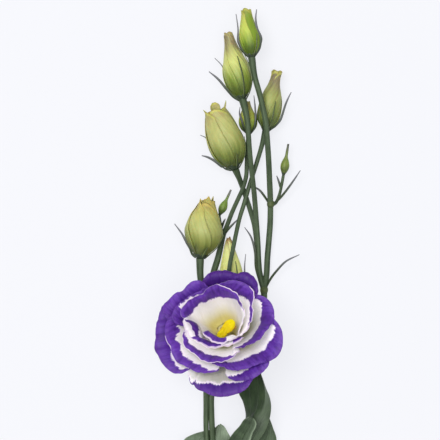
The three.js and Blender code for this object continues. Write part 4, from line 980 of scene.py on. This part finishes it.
mainNode, sideNode = stem["mainNode"], stem["sideNode"]
stalks = [
    ([mainNode, (211, 508, 2.6), (209.5, 540, 1.55), (208.5, 562, 2)], [(0, 2.1), (0.3, 1.85), (1, 1.85)]),
    ([mainNode, (208.4, 456, 4), (206.2, 430, 3.9), (206, 400, 3.6), (205.4, 370, 2.6), (204.4, 340, 2.4),
      (203.6, 312, 3.4), (201.9, 290, 6), (200.2, 274, 8.4), budFoot("bud_lower_left")],
     [(0, 1.44), (0.5, 1.42), (0.85, 1.7), (1, 2.1)]),
    ([(203.8, 318, 3), (206.6, 303, 3.2), (210, 288, 3.4), (214, 271, 3.8), (217.3, 260.4, 3),
      (220.6, 247, 2.5), (223.8, 233.6, 2.9), (227.4, 224.6, 3.8), (232.5, 211.3, 4.4), (238.6, 197.9, 5.2),
      (242.6, 189, 5.4), (246.2, 176, 5), (246.8, 162, 4.6), (247.4, 148, 5), budFoot("bud_small")],
     [(0, 1.3), (0.25, 1.7), (0.5, 1.2), (1, 1.15)]),
    ([(216, 382, 3.6), (218.5, 352, 3.4), (221.4, 328, 4.6), (224, 310, 8), (226.4, 294, 12.4),
      (228.2, 280, 14.9), (229.8, 264.8, 15), (232.5, 251.4, 13), (236, 234, 9.4), (239.6, 218, 6.4),
      (244, 204, 5), (248.6, 188, 4.7), (255.7, 165.9, 4.8), (262, 145, 5.8), budFoot("bud_upper_right")],
     [(0, 1.2), (0.9, 1.2), (1, 1.7)]),
    ([(218, 372, 3.6), (223, 350, 4.4), (228.6, 325, 5.4), budFoot("bud_behind")], [(0, 1.2), (1, 1.4)]),
    ([mainNode, (232, 455, 3.2), (245, 432, 2.4), (252, 410, 2.1), (256.5, 385, 2), (260, 360, 2),
      (262.6, 335, 2.1), (264, 310, 2.5), sideNode], [(0, 1.7), (1, 1.7)]),
    ([sideNode, (266.4, 276, 2.9), (267.4, 258, 3.2), (268.9, 240, 3.7), (270.2, 222, 4.6),
      (270.4, 203, 5.6), (269.6, 182, 8), (268.7, 161.4, 11), (267.3, 140, 14.2), (265.6, 122, 16.2),
      (260.6, 98, 17), (254.6, 76, 17.2), budFoot("bud_top")], [(0, 1.6), (0.5, 1.5), (0.9, 1.5), (1, 1.95)]),
    ([sideNode, (260.4, 278, 3.4), (258.6, 260.4, 4.4), (257.8, 242.5, 5), (256.4, 222, 5.6),
      (254.4, 196, 6.8), (252.6, 179, 8), (250, 156, 10.6), (248.6, 138, 13.4), (246.9, 118, 14),
      budFoot("bud_upper_left")], [(0, 1.5), (0.85, 1.4), (1, 2.05)]),
    ([sideNode, (259.4, 270, 2.2), (257.4, 250, 1.7), (254.6, 226, 1.7), (250.8, 212, 1.7),
      (246.8, 199.6, 2), (242.4, 187, 4), (239, 178, 7), budFoot("bud_left")], [(0, 1.4), (0.85, 1.4), (1, 2)]),
    ([(222.6, 237, 3.4), (220.8, 226, 3.2), budFoot("bud_tiny_left")], [(0, 0.8), (1, 0.75)]),
    ([(270.4, 205, 5.4), (275.4, 203.2, 5.2), (279.4, 194.6, 5), (281.6, 185, 5), budFoot("bud_tiny_right")],
     [(0, 1), (0.3, 0.85), (1, 0.8)]),
    ([inBloom(0, 0, -3), inBloom(0, 0, -8), (229.5, 349, 6.6), (224, 362, 4.2), (216.4, 378, 3.6),
      (211.5, 396, 3.7), (211.4, 412, 3.9), (212.5, 440, 4), (213, 479, 3.6)],
     [(0, 2.1), (0.12, 1.8), (0.3, 1.65), (0.7, 1.6), (1, 1.5)]),
]


def makeStemSkin():
    material, tree, shader = newMaterial("stemSkin", {"Roughness": 0.55, "Specular IOR Level": 0.2})
    around = addNode(tree, "ShaderNodeAttribute", attribute_name="aroundPath").outputs["Fac"]
    along = addNode(tree, "ShaderNodeAttribute", attribute_name="alongPath").outputs["Fac"]
    millimetres = calculate(tree, "MULTIPLY", along, 1000.0)
    turn = calculate(tree, "MULTIPLY", around, 2 * math.pi)
    lines = useGroup(tree, fibres, {
        "Across": calculate(tree, "MULTIPLY", calculate(tree, "SINE", turn), 3.0), "Along": millimetres,
        "Seed": calculate(tree, "MULTIPLY", calculate(tree, "COSINE", turn), 3.0), "Fineness": 1.2,
        "Stretch": 0.05})
    blotch = useGroup(tree, mottle, {"Size": 9.0})
    colour = mixColour(tree, blotch["Mask"], stem["dark"], stem["green"])
    colour = mixColour(tree, calculate(tree, "MULTIPLY", lines["Coarse"], 0.5), colour, stem["light"])
    colour = mixColour(tree, calculate(tree, "MULTIPLY", lines["Mask"], 0.3), colour, stem["dark"])
    tree.links.new(colour, shader.inputs["Base Color"])
    ridges = calculate(tree, "ADD", lines["Coarse"], calculate(tree, "MULTIPLY", lines["Mask"], 0.4))
    relief(tree, shader, ridges, 0.12)
    return material


# A tree that turns lines into stalks: a round section along each line, as thick as its points say
def makeStalkTree():
    tree = bpy.data.node_groups.new("stalks", "GeometryNodeTree")
    face = tree.interface
    face.new_socket("Lines", in_out="INPUT", socket_type="NodeSocketGeometry")
    face.new_socket("Sides", in_out="INPUT", socket_type="NodeSocketInt").default_value = 24
    for label, value in (("Girth", 1.0), ("Unevenness", 0.0001), ("Lump Size", 0.006)):
        face.new_socket(label, in_out="INPUT", socket_type="NodeSocketFloat").default_value = value
    face.new_socket("Finish", in_out="INPUT", socket_type="NodeSocketMaterial")
    face.new_socket("Stalks", in_out="OUTPUT", socket_type="NodeSocketGeometry")
    given = tree.nodes.new("NodeGroupInput").outputs
    lines = addNode(tree, "GeometryNodeMeshToCurve", {"Mesh": given["Lines"]}).outputs[0]
    walked = tree.nodes.new("GeometryNodeSplineParameter").outputs
    lines = addNode(tree, "GeometryNodeStoreNamedAttribute", {"Geometry": lines, "Name": "alongPath",
                    "Value": walked["Length"]}).outputs[0]
    circle = addNode(tree, "GeometryNodeCurvePrimitiveCircle", {"Resolution": given["Sides"], "Radius": 1.0})
    circle = addNode(tree, "GeometryNodeStoreNamedAttribute", {"Geometry": circle.outputs[0], "Name": "aroundPath",
                     "Value": walked["Factor"]}).outputs[0]
    girth = addNode(tree, "GeometryNodeInputNamedAttribute", {"Name": "girth"}).outputs[0]
    girth = calculate(tree, "MULTIPLY", girth, given["Girth"])
    skinned = addNode(tree, "GeometryNodeCurveToMesh", {"Curve": lines, "Profile Curve": circle, "Scale": girth,
                      "Fill Caps": True}).outputs[0]
    where = tree.nodes.new("GeometryNodeInputPosition").outputs[0]
    often = calculate(tree, "DIVIDE", 1.0, given["Lump Size"])
    lumps = addNode(tree, "ShaderNodeTexNoise", {"Vector": where, "Scale": often, "Detail": 1.0}).outputs[0]
    lift = calculate(tree, "MULTIPLY", calculate(tree, "SUBTRACT", lumps, 0.5), given["Unevenness"])
    outward = tree.nodes.new("GeometryNodeInputNormal").outputs[0]
    push = addNode(tree, "ShaderNodeVectorMath", {0: outward, "Scale": lift}, operation="SCALE").outputs[0]
    moved = addNode(tree, "GeometryNodeSetPosition", {"Geometry": skinned, "Offset": push}).outputs[0]
    smooth = addNode(tree, "GeometryNodeSetShadeSmooth", {0: moved}).outputs[0]
    real = addNode(tree, "GeometryNodeRealizeInstances", {0: smooth}).outputs[0]
    coat = addNode(tree, "GeometryNodeSetMaterial", {0: real, "Material": given["Finish"]})
    end = tree.nodes.new("NodeGroupOutput")
    tree.links.new(coat.outputs[0], end.inputs[0])
    return tree


def stalkLines():
    corners, edges, girths = [], [], []
    for points, radii in stalks:
        spots = places(points)
        length = np.linalg.norm(np.diff(spots, axis=0), axis=1).sum()
        shares = np.linspace(0, 1, max(8, int(length / 1.6)))
        line = smoothLine(spots, shares)
        edges += [(len(corners) + i, len(corners) + i + 1) for i in range(len(shares) - 1)]
        corners += list(line)
        girths += list(alongKnots(radii, shares))
    mesh = bpy.data.meshes.new("stem_stalks")
    mesh.from_pydata((np.array(corners) * millimetre).tolist(), edges, [])
    mesh.attributes.new("girth", "FLOAT", "POINT").data.foreach_set("value", np.array(girths) * millimetre)
    piece = bpy.data.objects.new("stem_stalks", mesh)
    bpy.context.scene.collection.objects.link(piece)
    return piece


stemSkin = makeStemSkin()
stalkPiece = grow(stalkLines(), makeStalkTree(), {
    "Sides": stem["sides"], "Girth": stem["girth"], "Unevenness": stem["unevenness"] * millimetre, "Lump Size": 0.006,
    "Finish": stemSkin,
})
for corner in stalkPiece.data.vertices:
    corner.co.z = max(corner.co.z, 0)
finishPiece(stalkPiece, "stem", "stem")
print("stalks grown:", len(stalks), "lines,", len(stalkPiece.data.polygons), "faces")


# Green strips: dark along the keel, paler at the margins, greyish at the tip
def makeStripSkin():
    material, tree, shader = newMaterial("sepalSkin", {"Roughness": 0.55, "Specular IOR Level": 0.35})
    strip = readAttribute(tree, "stripPlace")
    seed, soft = readAttribute(tree, "stripSeed")[:2]
    lines = useGroup(tree, fibres, {"Across": strip[0], "Along": strip[1], "Seed": seed, "Fineness": 1.6,
                                    "Stretch": 0.08})
    blotch = useGroup(tree, mottle, {"Size": 3.0})
    wide = calculate(tree, "ABSOLUTE", strip[0])
    margin = calculate(tree, "MULTIPLY", remap(tree, wide, 0.25, 0.7), remap(tree, soft, 0.0, 1.0, 0.2, 0.8))
    margin = calculate(tree, "MULTIPLY", margin, remap(tree, strip[2], 0.05, 0.3))
    colour = mixColour(tree, margin, stem["dark"], stem["margin"])
    colour = mixColour(tree, calculate(tree, "MULTIPLY", blotch["Mask"], 0.3), colour, stem["green"])
    grey = calculate(tree, "MULTIPLY", remap(tree, strip[2], 0.3, 1.0, 0.0, 0.9), remap(tree, soft, 1.0, 0.0))
    colour = mixColour(tree, grey, colour, stem["purpleGrey"])
    colour = mixColour(tree, calculate(tree, "MULTIPLY", lines["Mask"], 0.3), colour, stem["dark"])
    tree.links.new(colour, shader.inputs["Base Color"])
    relief(tree, shader, lines["Coarse"], 0.06)
    return material


stripSkin = makeStripSkin()


# A narrow keeled leaf such as a sepal or a bract
def strap(points, width, facing, steps, seed, soft=0.0):
    widths = [(0, 0.75), (0.3, 1), (0.75, 0.8), (1, 0.3)]

    def section(u):
        h = width * alongKnots(widths, u) / 2
        deep = 1 - 0.45 * u
        x = np.array([1, 0.66, 0.3, 0.12, 0, -0.12, -0.3, -0.66, -1, -0.6, 0, 0.6])
        y = np.array([-0.04, 0.1, 0.2, 0.42, 0.5, 0.42, 0.2, 0.1, -0.04, -0.14, -0.24, -0.14])
        return np.stack([x * h, y * deep], 1)

    shape = sweep(places(points), steps, facing, section, seed)
    shape[3]["stripSeed"][:, 1] = soft
    return shape


def overBud(bud, f, turn, share, lift):
    step = 0.02
    low, high = (f["radius"] * alongKnots(bud["profile"], max(v, 0)) for v in (share - step, share + step))
    rise = (high - low) / (2 * step * f["length"])
    steep = math.hypot(1, rise)
    radius = f["radius"] * alongKnots(bud["profile"], max(share, 0))
    return aboutBud(f, turn, share - lift * rise / steep / f["length"], radius + lift / steep)


def budSepal(bud, sepal, seed):
    f = budFrame(bud)
    turn, hug, path = math.radians(sepal[0]), sepal[1], sepal[2:]
    points = [aboutBud(f, turn, -0.05, f["radius"] * 0.22)]
    for part in (0.12, 0.4, 0.7, 1) if hug > 0.1 else (1,):
        points.append(overBud(bud, f, turn, part * hug, 0.4 + (0.5 if part == 1 else 0)))
    points += [place(*p) for p in path]

    def facing(spot):
        foot = spot - f["base"]
        outward = unit(foot - f["axis"] * (foot.dot(f["axis"]) + 0.3))
        return outward + zAxis if path and spot[2] > f["base"][2] - 3 else outward

    width = stem["sepalWidth"] if f["length"] > 25 else stem["sepalWidth"] * 0.8
    return strap(points, width if path else width * 0.65, facing, 40, seed, 0 if path else 1)


def budCup(bud, seed):
    f = budFrame(bud)
    rim = float(alongKnots(bud["profile"], 0.0)) * f["radius"]
    near = float(alongKnots(bud["profile"], 0.03)) * f["radius"] + 0.1
    profile = [(0.5 * rim, -1.9), (0.62 * rim, -1.5), (0.78 * rim, -1), (0.92 * rim, -0.5), (1.05 * rim, -0.1),
               (near, 0.026 * f["length"]), (near - 0.15, 0.03 * f["length"]), (0.8 * rim, 0.1)]
    profile = [(max(r, 0.75), h) for r, h in profile]
    return turned(f["base"], f["axis"], profile, 40, 5, 0.05, seed, 0.15)


green = []
for number, (budName, bud) in enumerate(buds.items()):
    green.append(budCup(bud, number * 1.7))
    green += [budSepal(bud, sepal, number * 5.1 + i) for i, sepal in enumerate(bud["sepals"])]
for i in range(5):
    turn = math.radians(30 + 72 * i)
    line = [inBloom(turn, 3, -1.8)] + [bowlPoint(turn, 1.2, share) - bloomAxis * 1.5
                                       for share in (0.02, 0.14, 0.3, 0.46, 0.6)]
    green.append(strap(line, 3.4, lambda spot: bloomBase + bloomAxis * 26 - spot, 40, 60 + i))
shape = gather(green)
sepalPiece = makeObject("stem_cups_and_sepals", shape[0], shape[1], stripSkin, (), shape[3])
finishPiece(sepalPiece, "stem")
seatProfile = [(1.2, -7.4), (1.9, -7), (2.2, -5.6), (2.6, -4.5), (3.4, -3.2), (4.6, -2.2), (7, -1.8), (9.0, -1.4),
               (9.2, -1.5), (7.5, -0.6), (5.2, 0.8), (4.4, 3.2), (3.6, 4.2), (1.6, 4.6)]
shape = turned(bloomBase, bloomAxis, seatProfile, 60, 5, 0.03, 71)
seatSkin = makeOrganSkin("seatSkin", stem["green"], stem["seatTone"], 0.5, 0.05, 0.45)
finishPiece(makeObject("stem_seat", shape[0], shape[1], seatSkin, (), shape[3]), "stem")

bracts = [
    [(265, 290, 3), (270.5, 279, 5), (277, 270.5, 6.4), (286, 261.3, 7.4), (299.5, 254.6, 8)],
    [(261.5, 288, 4), (256, 268, 6.6), (255, 252, 7.4), (251, 237, 7.8), (244.6, 227.3, 8.4)],
    [(271, 205, 5.6), (278.5, 199.6, 6.4), (286, 190.9, 6.8), (293.2, 181, 7.2), (300.4, 170.4, 7.6)],
    [(270, 205, 5), (264.6, 196.5, 4.6), (259.3, 190, 4.4), (252.5, 186, 3.6)],
    [(280.9, 189, 5), (279.6, 184, 5.2), (276.7, 175.7, 5.8)],
    [(223.6, 236, 3.8), (228, 229.6, 5), (232.6, 224.6, 5.6), (238, 219, 7)],
    [(221.8, 228, 3.4), (223.2, 223, 4.2), (225.4, 218.6, 4.8)],
]
joints = [(mainNode, 2.5), (sideNode, 2.3), ((270.6, 204, 5.5), 2.15)]
shapes = [strap(points, stem["bractWidth"], zAxis, 44, 80 + i) for i, points in enumerate(bracts)]
for i, (spot, radius) in enumerate(joints):
    profile = [(radius * math.sin(a), -radius * 1.25 * math.cos(a)) for a in np.linspace(0.15, math.pi - 0.15, 18)]
    shapes.append(turned(place(*spot), (0.05, 1, 0), profile, 36, 3, 0.03, 90 + i, 0.42))
shape = gather(shapes)
bractPiece = makeObject("stem_joints_and_bracts", shape[0], shape[1], stripSkin, (), shape[3])
finishPiece(bractPiece, "stem")
print("sepals and bracts made")

# Leaves: left edge, midrib and right edge, from the root to the tip, and how pale the face looks across: partly its
# frosted bloom, partly painted light on the lit half of a folded blade and a painted highlight along a folded edge
leafMake = {
    "columns": 56, "rows": 90, "thickness": 0.5, "rimThickness": 0.25, "ribDepth": 0.45, "wave": 0.35,
    "deep": tone("13210f"), "face": tone("293e1f"), "pale": tone("506642"), "frostAndLightTone": tone("94a48b"),
    "rib": tone("829272"), "seed": 41,
}
leaves = {
    "leaf_left": {
        "left": [(209, 480, 0.6), (194, 466, 2.6), (183, 451, 6), (184.3, 440, 8), (194, 434, 5.5),
                 (204, 431, 1.2), (212, 429.4, 1.2), (217.6, 425.6, 3.8)],
        "midrib": [(212, 481, 0.6), (210.4, 470, 0.6), (209.6, 458, 0.7), (210, 448, 0.7), (211.4, 439, 0.8),
                   (215, 431.6, 1.2), (218.8, 425.2, 4.2)],
        "right": [(215, 480, 0.6), (220.4, 466, 0.8), (227, 450, 4.4), (231, 439, 8.4), (227.5, 431.5, 10),
                  (224.4, 426.6, 8.4), (220.6, 423.8, 5.4)],
        "frostAndLight": [(-1, 0.45), (-0.2, 0.6), (0.3, 0.9), (1, 1)],
    },
    "leaf_right_upper": {
        "left": [(231.8, 456.4, 5.3), (238, 444, 8), (243.5, 428, 8), (246.3, 416, 7), (243, 402, 5.5),
                 (238.6, 393, 5), (240, 378, 5.4), (252, 362, 7)],
        "midrib": [(233.4, 457, 5.2), (243, 443, 10), (248.6, 428, 14), (253.6, 417.5, 16), (260.8, 408.5, 16),
                   (264, 394, 14.5), (262.6, 380, 12), (256, 364, 8)],
        "right": [(235, 457.6, 4.7), (250, 449, 9), (260.5, 438, 13), (267.6, 425, 14), (270.6, 410, 12),
                  (269.6, 398, 9.5), (264.6, 384, 8.6), (259, 366, 7.6)],
        "frostAndLight": [(-1, 0), (0.22, 0.02), (0.36, 0.42), (1, 0.3)],
    },
    "leaf_right_front": {
        "left": [(216.4, 474.6, 5.9), (221, 458, 9), (228.5, 440, 13), (234, 432, 16), (239.8, 425.7, 19),
                 (244, 419.6, 21.5), (249, 416.6, 22)],
        "midrib": [(217.8, 476, 5.5), (231, 459, 10.5), (239.6, 444, 15), (244, 435, 18), (248, 427.4, 20.6),
                   (250.4, 421.4, 22.4), (251.4, 417.6, 22.6)],
        "right": [(218.8, 477.8, 4.8), (238, 465, 12), (248.6, 444, 19.5), (252.8, 432.4, 22.4), (255.6, 427.6, 23.6),
                  (256.4, 423, 24), (254, 418.6, 23.4)],
        "frostAndLight": [(-1, 0.1), (0.5, 0.26), (0.84, 0.34), (0.93, 1), (1, 1)],
    },
    "leaf_right_back": {
        "left": [(217.4, 478.4, 2.6), (236, 462, 4.6), (248, 450, 6.8), (257, 440, 8.6), (263.4, 428, 9.4),
                 (265.6, 417, 9.6)],
        "midrib": [(217.1, 480.2, 2.1), (239, 467, 2.6), (254, 456, 3.6), (264, 444, 5), (268.8, 430, 7.4),
                   (267.4, 415.8, 9.4)],
        "right": [(216.9, 482, 1.7), (244, 474, 1.2), (264, 464, 1.2), (276.4, 442, 3.6), (272.8, 427, 7),
                  (269, 416.4, 9)],
        "frostAndLight": [(-1, 0.1), (0.7, 0.3), (1, 0.1)],
    },
}


def makeLeafSkin():
    material, tree, shader = newMaterial("leafSkin", {"Roughness": 0.5, "Specular IOR Level": 0.3})
    spot = readAttribute(tree, "leafPlace")
    edge = readAttribute(tree, "leafEdge")
    lines = useGroup(tree, fibres, {"Across": spot[0], "Along": spot[1], "Seed": edge[2], "Fineness": 0.9,
                                    "Stretch": 0.12})
    blotch = useGroup(tree, mottle, {"Size": 6.0})
    broad = useGroup(tree, mottle, {"Size": 16.0})
    colour = mixColour(tree, broad["Mask"], leafMake["deep"], leafMake["face"])
    colour = mixColour(tree, calculate(tree, "MULTIPLY", blotch["Mask"], 0.35), colour, leafMake["pale"])
    # Frosted bloom mixed with painted light: one half of a folded blade and a folded edge are paler
    colour = mixColour(tree, calculate(tree, "MULTIPLY", edge[1], calculate(
        tree, "ADD", 0.55, calculate(tree, "MULTIPLY", broad["Mask"], 0.4))), colour, leafMake["frostAndLightTone"])
    # The midrib and the long side veins are paler
    vein = calculate(tree, "ABSOLUTE", calculate(tree, "SINE", calculate(tree, "MULTIPLY", spot[2], 9.5)))
    colour = mixColour(tree, remap(tree, vein, 0.14, 0.0, 0.0, 0.08), colour, leafMake["rib"])
    colour = mixColour(tree, remap(tree, edge[0], 0.6, 0.1, 0.0, 0.4), colour, leafMake["rib"])
    colour = mixColour(tree, calculate(tree, "MULTIPLY", lines["Mask"], 0.22), colour, leafMake["deep"])
    tree.links.new(colour, shader.inputs["Base Color"])
    ridges = calculate(tree, "SUBTRACT", lines["Coarse"], remap(tree, vein, 0.3, 0.0))
    relief(tree, shader, ridges, 0.16)
    tree.links.new(remap(tree, blotch["Mask"], 0.0, 1.0, 0.42, 0.58), shader.inputs["Roughness"])
    return material


leafSkin = makeLeafSkin()
chance = np.random.RandomState(leafMake["seed"])
for number, (leafName, leaf) in enumerate(leaves.items()):
    s, t = np.meshgrid(np.linspace(-1, 1, leafMake["columns"] + 1), np.linspace(0, 1, leafMake["rows"] + 1))
    left, middle, right = (smoothLine(places(leaf[key]), t[:, 0])[:, None, :] for key in ("left", "midrib", "right"))
    pull = (np.abs(s) ** 1.4)[..., None]
    points = middle * (1 - pull) + np.where((s < 0)[..., None], left, right) * pull
    walk = np.linalg.norm(np.diff(points, axis=1), axis=2)
    across = np.column_stack([np.zeros(len(points)), np.cumsum(walk, 1)])
    across = across - across[:, leafMake["columns"] // 2][:, None]
    along = np.vstack([np.zeros(points.shape[1]), np.cumsum(np.linalg.norm(np.diff(points, axis=0), axis=2), 0)])
    toRim = np.minimum(across - across[:, :1], across[:, -1:] - across)
    down, over = np.gradient(points, axis=(0, 1))
    upward = unit(np.cross(over, down))
    lift = -leafMake["ribDepth"] * np.exp(-(across / 0.9) ** 2)
    lift = lift + leafMake["wave"] * np.sin(along / 6.5 + 2 * np.sign(s) + chance.uniform(0, 6)) * np.abs(s) ** 3
    points = points + upward * lift[..., None]
    thick = leafMake["rimThickness"] + (leafMake["thickness"] - leafMake["rimThickness"]) * smoothStep(toRim, 0, 2)
    values = {"leafPlace": np.stack([across, along, s], 2),
              "leafEdge": np.stack([toRim, np.interp(s, *np.array(leaf["frostAndLight"]).T), np.full(s.shape, number * 4.3)], 2)}
    corners, faces, flat, values = thinSheet(points, thick, values)
    piece = makeObject(leafName + "_blade", corners, faces, leafSkin, flat, values)
    finishPiece(piece, "leaf", leafName)
print("leaves made:", len(leaves))

# Floor, light and camera
studio = {
    "floorSize": 4.0, "floorTone": (0.14, 0.14, 0.143, 1.0), "floorGlow": 0.84, "worldTone": tone("f2f3f8"),
    "worldStrength": 0.42, "keyPlace": (-0.5, 0.35, 1.7), "keySize": 0.9, "keyPower": 25,
    "fillPlace": (0.45, -0.3, 1.8), "fillSize": 1.2, "fillPower": 11.5, "sensor": 36.0,
}
floorMaterial, floorTree, floorShader = newMaterial("paleFloor", {"Roughness": 0.9, "Specular IOR Level": 0.1})
floorShader.inputs["Base Color"].default_value = studio["floorTone"]
floorShader.inputs["Emission Color"].default_value = studio["worldTone"]
floorShader.inputs["Emission Strength"].default_value = studio["floorGlow"]
half = studio["floorSize"] / 2
floorMesh = bpy.data.meshes.new("floor")
floorMesh.from_pydata([(-half, -half, 0), (half, -half, 0), (half, half, 0), (-half, half, 0)], [], [(0, 1, 2, 3)])
floorMesh.materials.append(floorMaterial)
floor = bpy.data.objects.new("floor", floorMesh)
floor.location.z = -0.0002
bpy.context.scene.collection.objects.link(floor)

world = bpy.data.worlds.new("studio")
bpy.context.scene.world = world
world.use_nodes = True
world.node_tree.nodes["Background"].inputs["Color"].default_value = studio["worldTone"]
world.node_tree.nodes["Background"].inputs["Strength"].default_value = studio["worldStrength"]


def addLight(name, where, size, power):
    light = bpy.data.lights.new(name, "AREA")
    light.size = size
    light.energy = power
    lamp = bpy.data.objects.new(name, light)
    lamp.location = where
    lamp.rotation_euler = (Vector((0, 0, 0)) - Vector(where)).to_track_quat("-Z", "Y").to_euler()
    bpy.context.scene.collection.objects.link(lamp)


addLight("softKey", studio["keyPlace"], studio["keySize"], studio["keyPower"])
addLight("softFill", studio["fillPlace"], studio["fillSize"], studio["fillPower"])

camera = bpy.data.cameras.new("camera")
camera.sensor_width = studio["sensor"]
camera.lens = studio["sensor"] * seen["cameraHeight"] / (seen["frameWidth"] * pixelSize)
viewer = bpy.data.objects.new("camera", camera)
viewer.location = (shiftX * millimetre, shiftY * millimetre, seen["cameraHeight"] * millimetre)
bpy.context.scene.collection.objects.link(viewer)
bpy.context.scene.camera = viewer
bpy.context.scene.view_settings.view_transform = "Standard"
print("studio ready")
